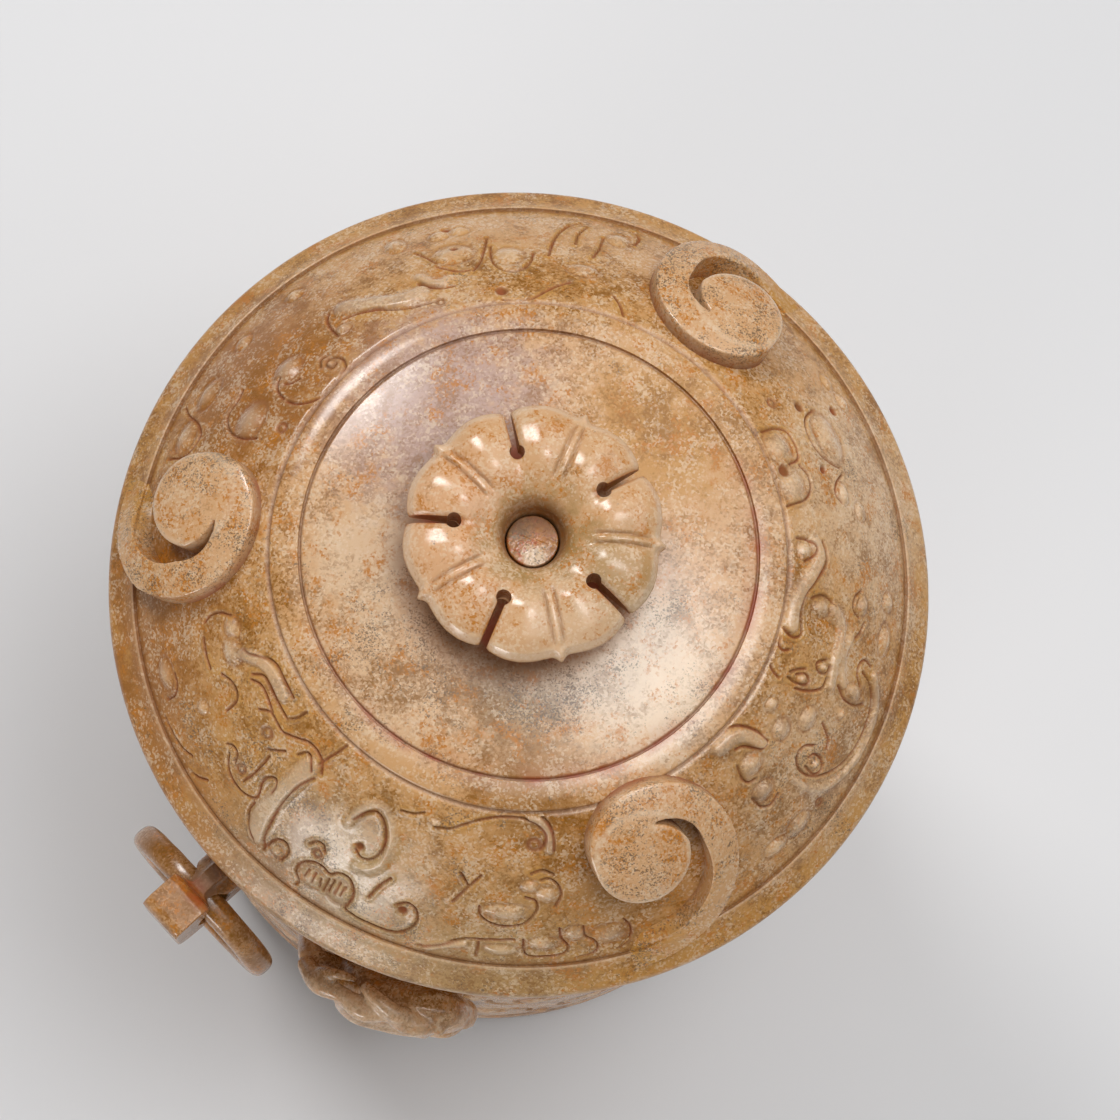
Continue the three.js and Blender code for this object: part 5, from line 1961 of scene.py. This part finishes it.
@dataclass
class CupBody(Assembly):
    """The hollow cup: a wall with border lines and hooked clouds in low relief, and a floor."""

    radius: float = 40.0
    wall: float = 5.0
    foot: float = 7.0
    mouth: float = 95.0
    floor: float = 7.0
    fillet: float = 3.0
    steps: int = 368
    rings: int = 108
    tool: float = 0.36
    groove_depth: float = 0.36
    ground_depth: float = 0.25
    skin: float = 0.02
    mouth_band: float = 1.0
    wave: float = 0.06
    wave_length: float = 14.0
    border: float = 5.0
    rows: int = 5
    clouds: int = 18

    HOOK = (
        (-2.4, -2.6), (-3.6, 0.2), (-2.2, 2.9), (0.8, 3.4), (2.9, 1.6), (2.6, -0.8), (0.8, -1.6),
        (-0.5, -0.4),
    )
    TAIL = ((2.2, 4.3), (4.6, 3.2), (6.2, 0.6), (6.6, -2.2))
    BUDS, BUD_SIZES = ((0.9, 1.0), (-5.6, -5.2)), ((1.7, 1.5), (1.2, 1.0))
    BORDER_LINES, BORDER_WIDTH = (foot + 2.6, foot + 3.9, mouth - 3.9, mouth - 2.6), 0.4
    REFINED_WIDTH, REFINED_CUTS = 2.0, 1

    MIDDLE_RING = 20.0
    FOOT_EDGE = ((-1.4, 0.0), (-0.7, 0.15), (-0.2, 0.6))
    WALL_ENDS = (foot + 1.2, mouth - 0.5)
    MOUTH_EDGE = ((-0.15, -0.12), (-0.5, 0.0))
    BORE_EDGE = ((0.5, 0.0), (0.15, -0.12), (0.0, -0.5))
    BORE_RINGS = (60.0, 35.0)
    FILLET_STEPS = 5

    def profile(self) -> Profile:
        """Draws the cup's profile.

        Returns:
            Points from the middle of its base, round the wall, to the floor inside.
        """
        bore, floor, fillet = self.radius - self.wall, self.foot + self.floor, self.fillet
        points = [(0.0, self.foot), (self.MIDDLE_RING, self.foot)]
        points += steps_from((self.radius, self.foot), self.FOOT_EDGE)
        points += [(self.radius, height) for height in np.linspace(*self.WALL_ENDS, self.rings)]
        points += steps_from((self.radius, self.mouth), self.MOUTH_EDGE)
        points += steps_from((bore, self.mouth), self.BORE_EDGE)
        points += [(bore, height) for height in (*self.BORE_RINGS, floor + fillet)]
        points += bowed((bore, floor + fillet), (bore, floor), (bore - fillet, floor), self.FILLET_STEPS)
        points += [(self.MIDDLE_RING, floor), (0.0, floor)]
        return lifted(points)

    def placed(self, route: Route, turn: float, height: float, flip: int) -> Route:
        """Lays a route of millimetres on the wall at a turn and a height, upright or turned over."""
        per_mm = math.degrees(1.0 / self.radius)
        return [(turn + flip * x * per_mm, height + flip * y) for x, y in route]

    def clouds_in_rows(self) -> Iterator[Motif]:
        """Draws the hooked clouds of the wall, row by row, each row turned against the last.

        Yields:
            One cloud.
        """
        low, high = self.foot + self.border, self.mouth - self.border
        tall = (high - low) / self.rows
        for row in range(self.rows):
            flip = 1 if row % 2 == 0 else -1
            for k in range(self.clouds):
                turn = (k + 0.5 * (row % 2)) * FULL_TURN / self.clouds
                height = low + (row + 0.5) * tall
                hook, tail, buds = (
                    self.placed(route, turn, height, flip) for route in (self.HOOK, self.TAIL, self.BUDS)
                )
                bosses = tuple((*place, *size) for place, size in zip(buds, self.BUD_SIZES))
                yield Motif(grooves=(hook, tail), bosses=bosses)

    def lay(self, heights: np.ndarray) -> tuple[np.ndarray, np.ndarray]:
        """Returns the wall's radius at some heights, and the heights."""
        return np.full(len(heights), self.radius), heights

    def ornament(self, places: np.ndarray, half: float) -> tuple[np.ndarray, Carving]:
        """Works out the clouds over the vertices of the wall.

        Args:
            places: Vertices of the cup in millimetres.
            half: Half width of the carver's tool.

        Returns:
            Numbers of the wall's vertices, and the carving over them.
        """
        radii, heights = radii_of(places), places[:, 2]
        found = np.flatnonzero((radii > self.radius - self.skin) & (heights < self.mouth - self.mouth_band))
        turns = turns_of(places[found]) % FULL_TURN
        tool = {"groove_half": half, "groove_depth": self.groove_depth}
        carving = Carving(turns, radii[found], heights[found], self.lay, **tool)
        for motif in self.clouds_in_rows():
            carving.add(motif)
        return found, carving

    def carve(self, piece: Piece) -> None:
        """Carves the clouds and the border lines.

        Args:
            piece: The turned cup.
        """
        places = points_of(piece)
        found, carving = self.ornament(places, self.tool)
        heights = places[found, 2]
        border = (heights < self.BORDER_LINES[1]) | (heights > self.BORDER_LINES[2])
        carving.raised[border] = 0.0
        carving.cut[border] = 0.0
        for line in self.BORDER_LINES:
            carving.cut = np.maximum(carving.cut, bell(heights, line, self.BORDER_WIDTH))
        lift = carving.height() - self.ground_depth + self.wave * wobble(places[found], self.wave_length)
        places[found, :2] *= (1.0 + lift / radii_of(places[found]))[:, None]
        set_points(piece, places)
        recess, relief = np.zeros(len(places)), np.zeros(len(places))
        recess[found], relief[found] = carving.cut, carving.worn()
        set_values(piece, recess=recess, relief=relief)

    def build(self) -> None:
        """Makes the cup."""
        piece = turned("cup_wall", self.profile(), self.steps)
        found, wide = self.ornament(points_of(piece), self.REFINED_WIDTH * self.tool)
        refined(piece, found, wide.cut, self.REFINED_CUTS)
        self.carve(piece)
        smoothed(piece)
        dressed(piece, self.finishes.wall, Body.CUP, Slot.BROWN, "cup_body")


@dataclass
class Feet(Assembly):
    """Three low paw feet under the cup."""

    circle: float = 32.5
    turn: float = 45.0
    count: int = 3
    toes: int = 4
    toe_fan: float = 160.0
    toe_gap: float = 0.12
    toe_depth: float = 0.09
    steps: int = 96

    PROFILE = (
        (0, 0.02), (4.2, 0.0), (5.1, 0.1), (5.5, 0.6), (5.65, 1.4), (5.45, 2.2), (4.9, 3.0), (4.6, 3.8),
        (4.65, 4.7), (5.1, 5.6), (5.7, 6.4), (5.95, 6.9), (5.6, 7.05), (0, 7.05),
    )
    FRONT, TOE_FOOT, TOE_TOP = (70.0, 95.0), (0.1, 0.5), (2.4, 4.6)
    DIRT, DIRT_START = 0.6, (5.2, 6.8)

    def build(self) -> None:
        """Makes one foot, cuts its toes, then makes the copies."""
        foot = turned("paw", lifted(eased(self.PROFILE, 3)), self.steps)
        places = points_of(foot)
        turns, heights = turns_of(places), places[:, 2]
        gap = np.abs(np.cos(np.radians(turns * self.toes * FULL_TURN / 2 / self.toe_fan)))
        cut = falling(*self.FRONT, np.abs(turns)) * band(self.TOE_FOOT, self.TOE_TOP, heights)
        cut *= bell(gap, 1.0, self.toe_gap)
        # Darker in the toe cuts and towards the top of the foot, under the cup.
        dirt = np.maximum(cut, self.DIRT * smoothstep(*self.DIRT_START, heights))
        places[:, :2] *= (1.0 - self.toe_depth * cut)[:, None]
        set_points(foot, places)
        set_values(foot, recess=dirt)
        for k in range(self.count):
            copy = copied(foot, f"paw_{k + 1}")
            settled(copy, self.turn + k * FULL_TURN / self.count, 0.0, (self.circle, 0, 0))
            dressed(copy, self.finishes.dark, Body.CUP, Slot.DARK, f"foot_{k + 1}")
        bpy.data.objects.remove(foot)


@dataclass(frozen=True)
class Lamp:
    """A soft lamp aimed at the lid.

    Fields: turn and height angle in degrees, distance, width and height in metres, and power.
    """

    name: str
    turn: float
    height_angle: float
    distance: float
    width: float
    height: float
    power: float


@dataclass
class Studio:
    """Floor, lamps, sky and camera."""

    target: float = 97.5
    camera_distance: float = 350.0
    camera_lean: float = 12.0
    camera_turn: float = -111.6
    image_up: float = 82.0
    aim_right: float = 4.08
    aim_up: float = 2.54
    lens: float = 105.0
    nearest: float = 0.01
    sky: float = 0.16
    floor_size: float = 60.0
    floor_colour: Colour = (0.72, 0.72, 0.73)
    floor_roughness: float = 0.7

    LAMPS = (
        Lamp("ceiling", 14.0, 66.0, 0.7, 1.0, 1.0, 3.25),
        Lamp("overhead", -2.0, 75.0, 0.7, 0.3, 0.3, 1.3),
        Lamp("window", 114.0, 48.0, 0.7, 0.22, 0.22, 2.0),
        Lamp("low_side", 228.0, 6.0, 0.7, 0.36, 0.18, 1.6),
    )

    def floor(self) -> None:
        """Makes the plain pale floor."""
        bpy.ops.object.select_all(action="DESELECT")
        bpy.ops.mesh.primitive_plane_add(size=self.floor_size)
        floor = named("floor")
        material = bpy.data.materials.new("pale_floor")
        material.use_nodes = True
        shader = material.node_tree.nodes["Principled BSDF"]
        shader.inputs["Base Color"].default_value = (*self.floor_colour, 1.0)
        shader.inputs["Roughness"].default_value = self.floor_roughness
        floor.data.materials.append(material)

    def lamps(self) -> None:
        """Hangs the lamps and sets the sky."""
        aim = Vector((0, 0, self.target)) * MM
        for lamp in self.LAMPS:
            rise = math.radians(lamp.height_angle)
            way = Vector((*polar(math.cos(rise), lamp.turn), math.sin(rise)))
            bpy.ops.object.light_add(type="AREA", location=aim + way * lamp.distance)
            light = named(lamp.name)
            light.rotation_euler = way.to_track_quat("Z", "Y").to_euler()
            light.data.shape = "ELLIPSE"
            light.data.size = lamp.width
            light.data.size_y = lamp.height
            light.data.energy = lamp.power
            light.visible_camera = False
        world = bpy.context.scene.world or bpy.data.worlds.new("sky")
        bpy.context.scene.world = world
        world.use_nodes = True
        sky = world.node_tree.nodes["Background"]
        sky.inputs["Color"].default_value = (1.0, 1.0, 1.0, 1.0)
        sky.inputs["Strength"].default_value = self.sky

    def camera(self) -> None:
        """Puts the camera at the photograph's angle."""
        target = Vector((0, 0, self.target)) * MM
        lean = math.radians(self.camera_lean)
        way = Vector((*polar(math.sin(lean), self.camera_turn), math.cos(lean)))
        place = target + way * self.camera_distance * MM
        up = Vector((*polar(1.0, self.image_up), 0.0))
        right = up.cross(way).normalized()
        aim = target + (right * self.aim_right + way.cross(right) * self.aim_up) * MM
        back = (place - aim).normalized()
        right = up.cross(back).normalized()
        turn = Matrix((right, back.cross(right), back)).transposed()
        bpy.ops.object.camera_add(location=place, rotation=turn.to_euler())
        camera = named("camera")
        camera.data.lens = self.lens
        camera.data.clip_start = self.nearest
        bpy.context.scene.camera = camera

    def build(self) -> None:
        """Sets the whole studio."""
        self.camera()
        self.floor()
        self.lamps()
        bpy.context.scene.view_settings.view_transform = "Standard"


def main() -> None:
    """Builds the studio and each sub-assembly."""
    logging.basicConfig(level=logging.INFO, format="%(name)s %(message)s")
    Studio().build()
    finishes = Finishes()
    for assembly in (CupBody, Feet, ClimbingDragon, RingHandle, Lid, ScrollKnobs, FlowerFinial):
        assembly(finishes).build()
        log.info("built %s", assembly.__name__)


if __name__ == "__main__":
    main()
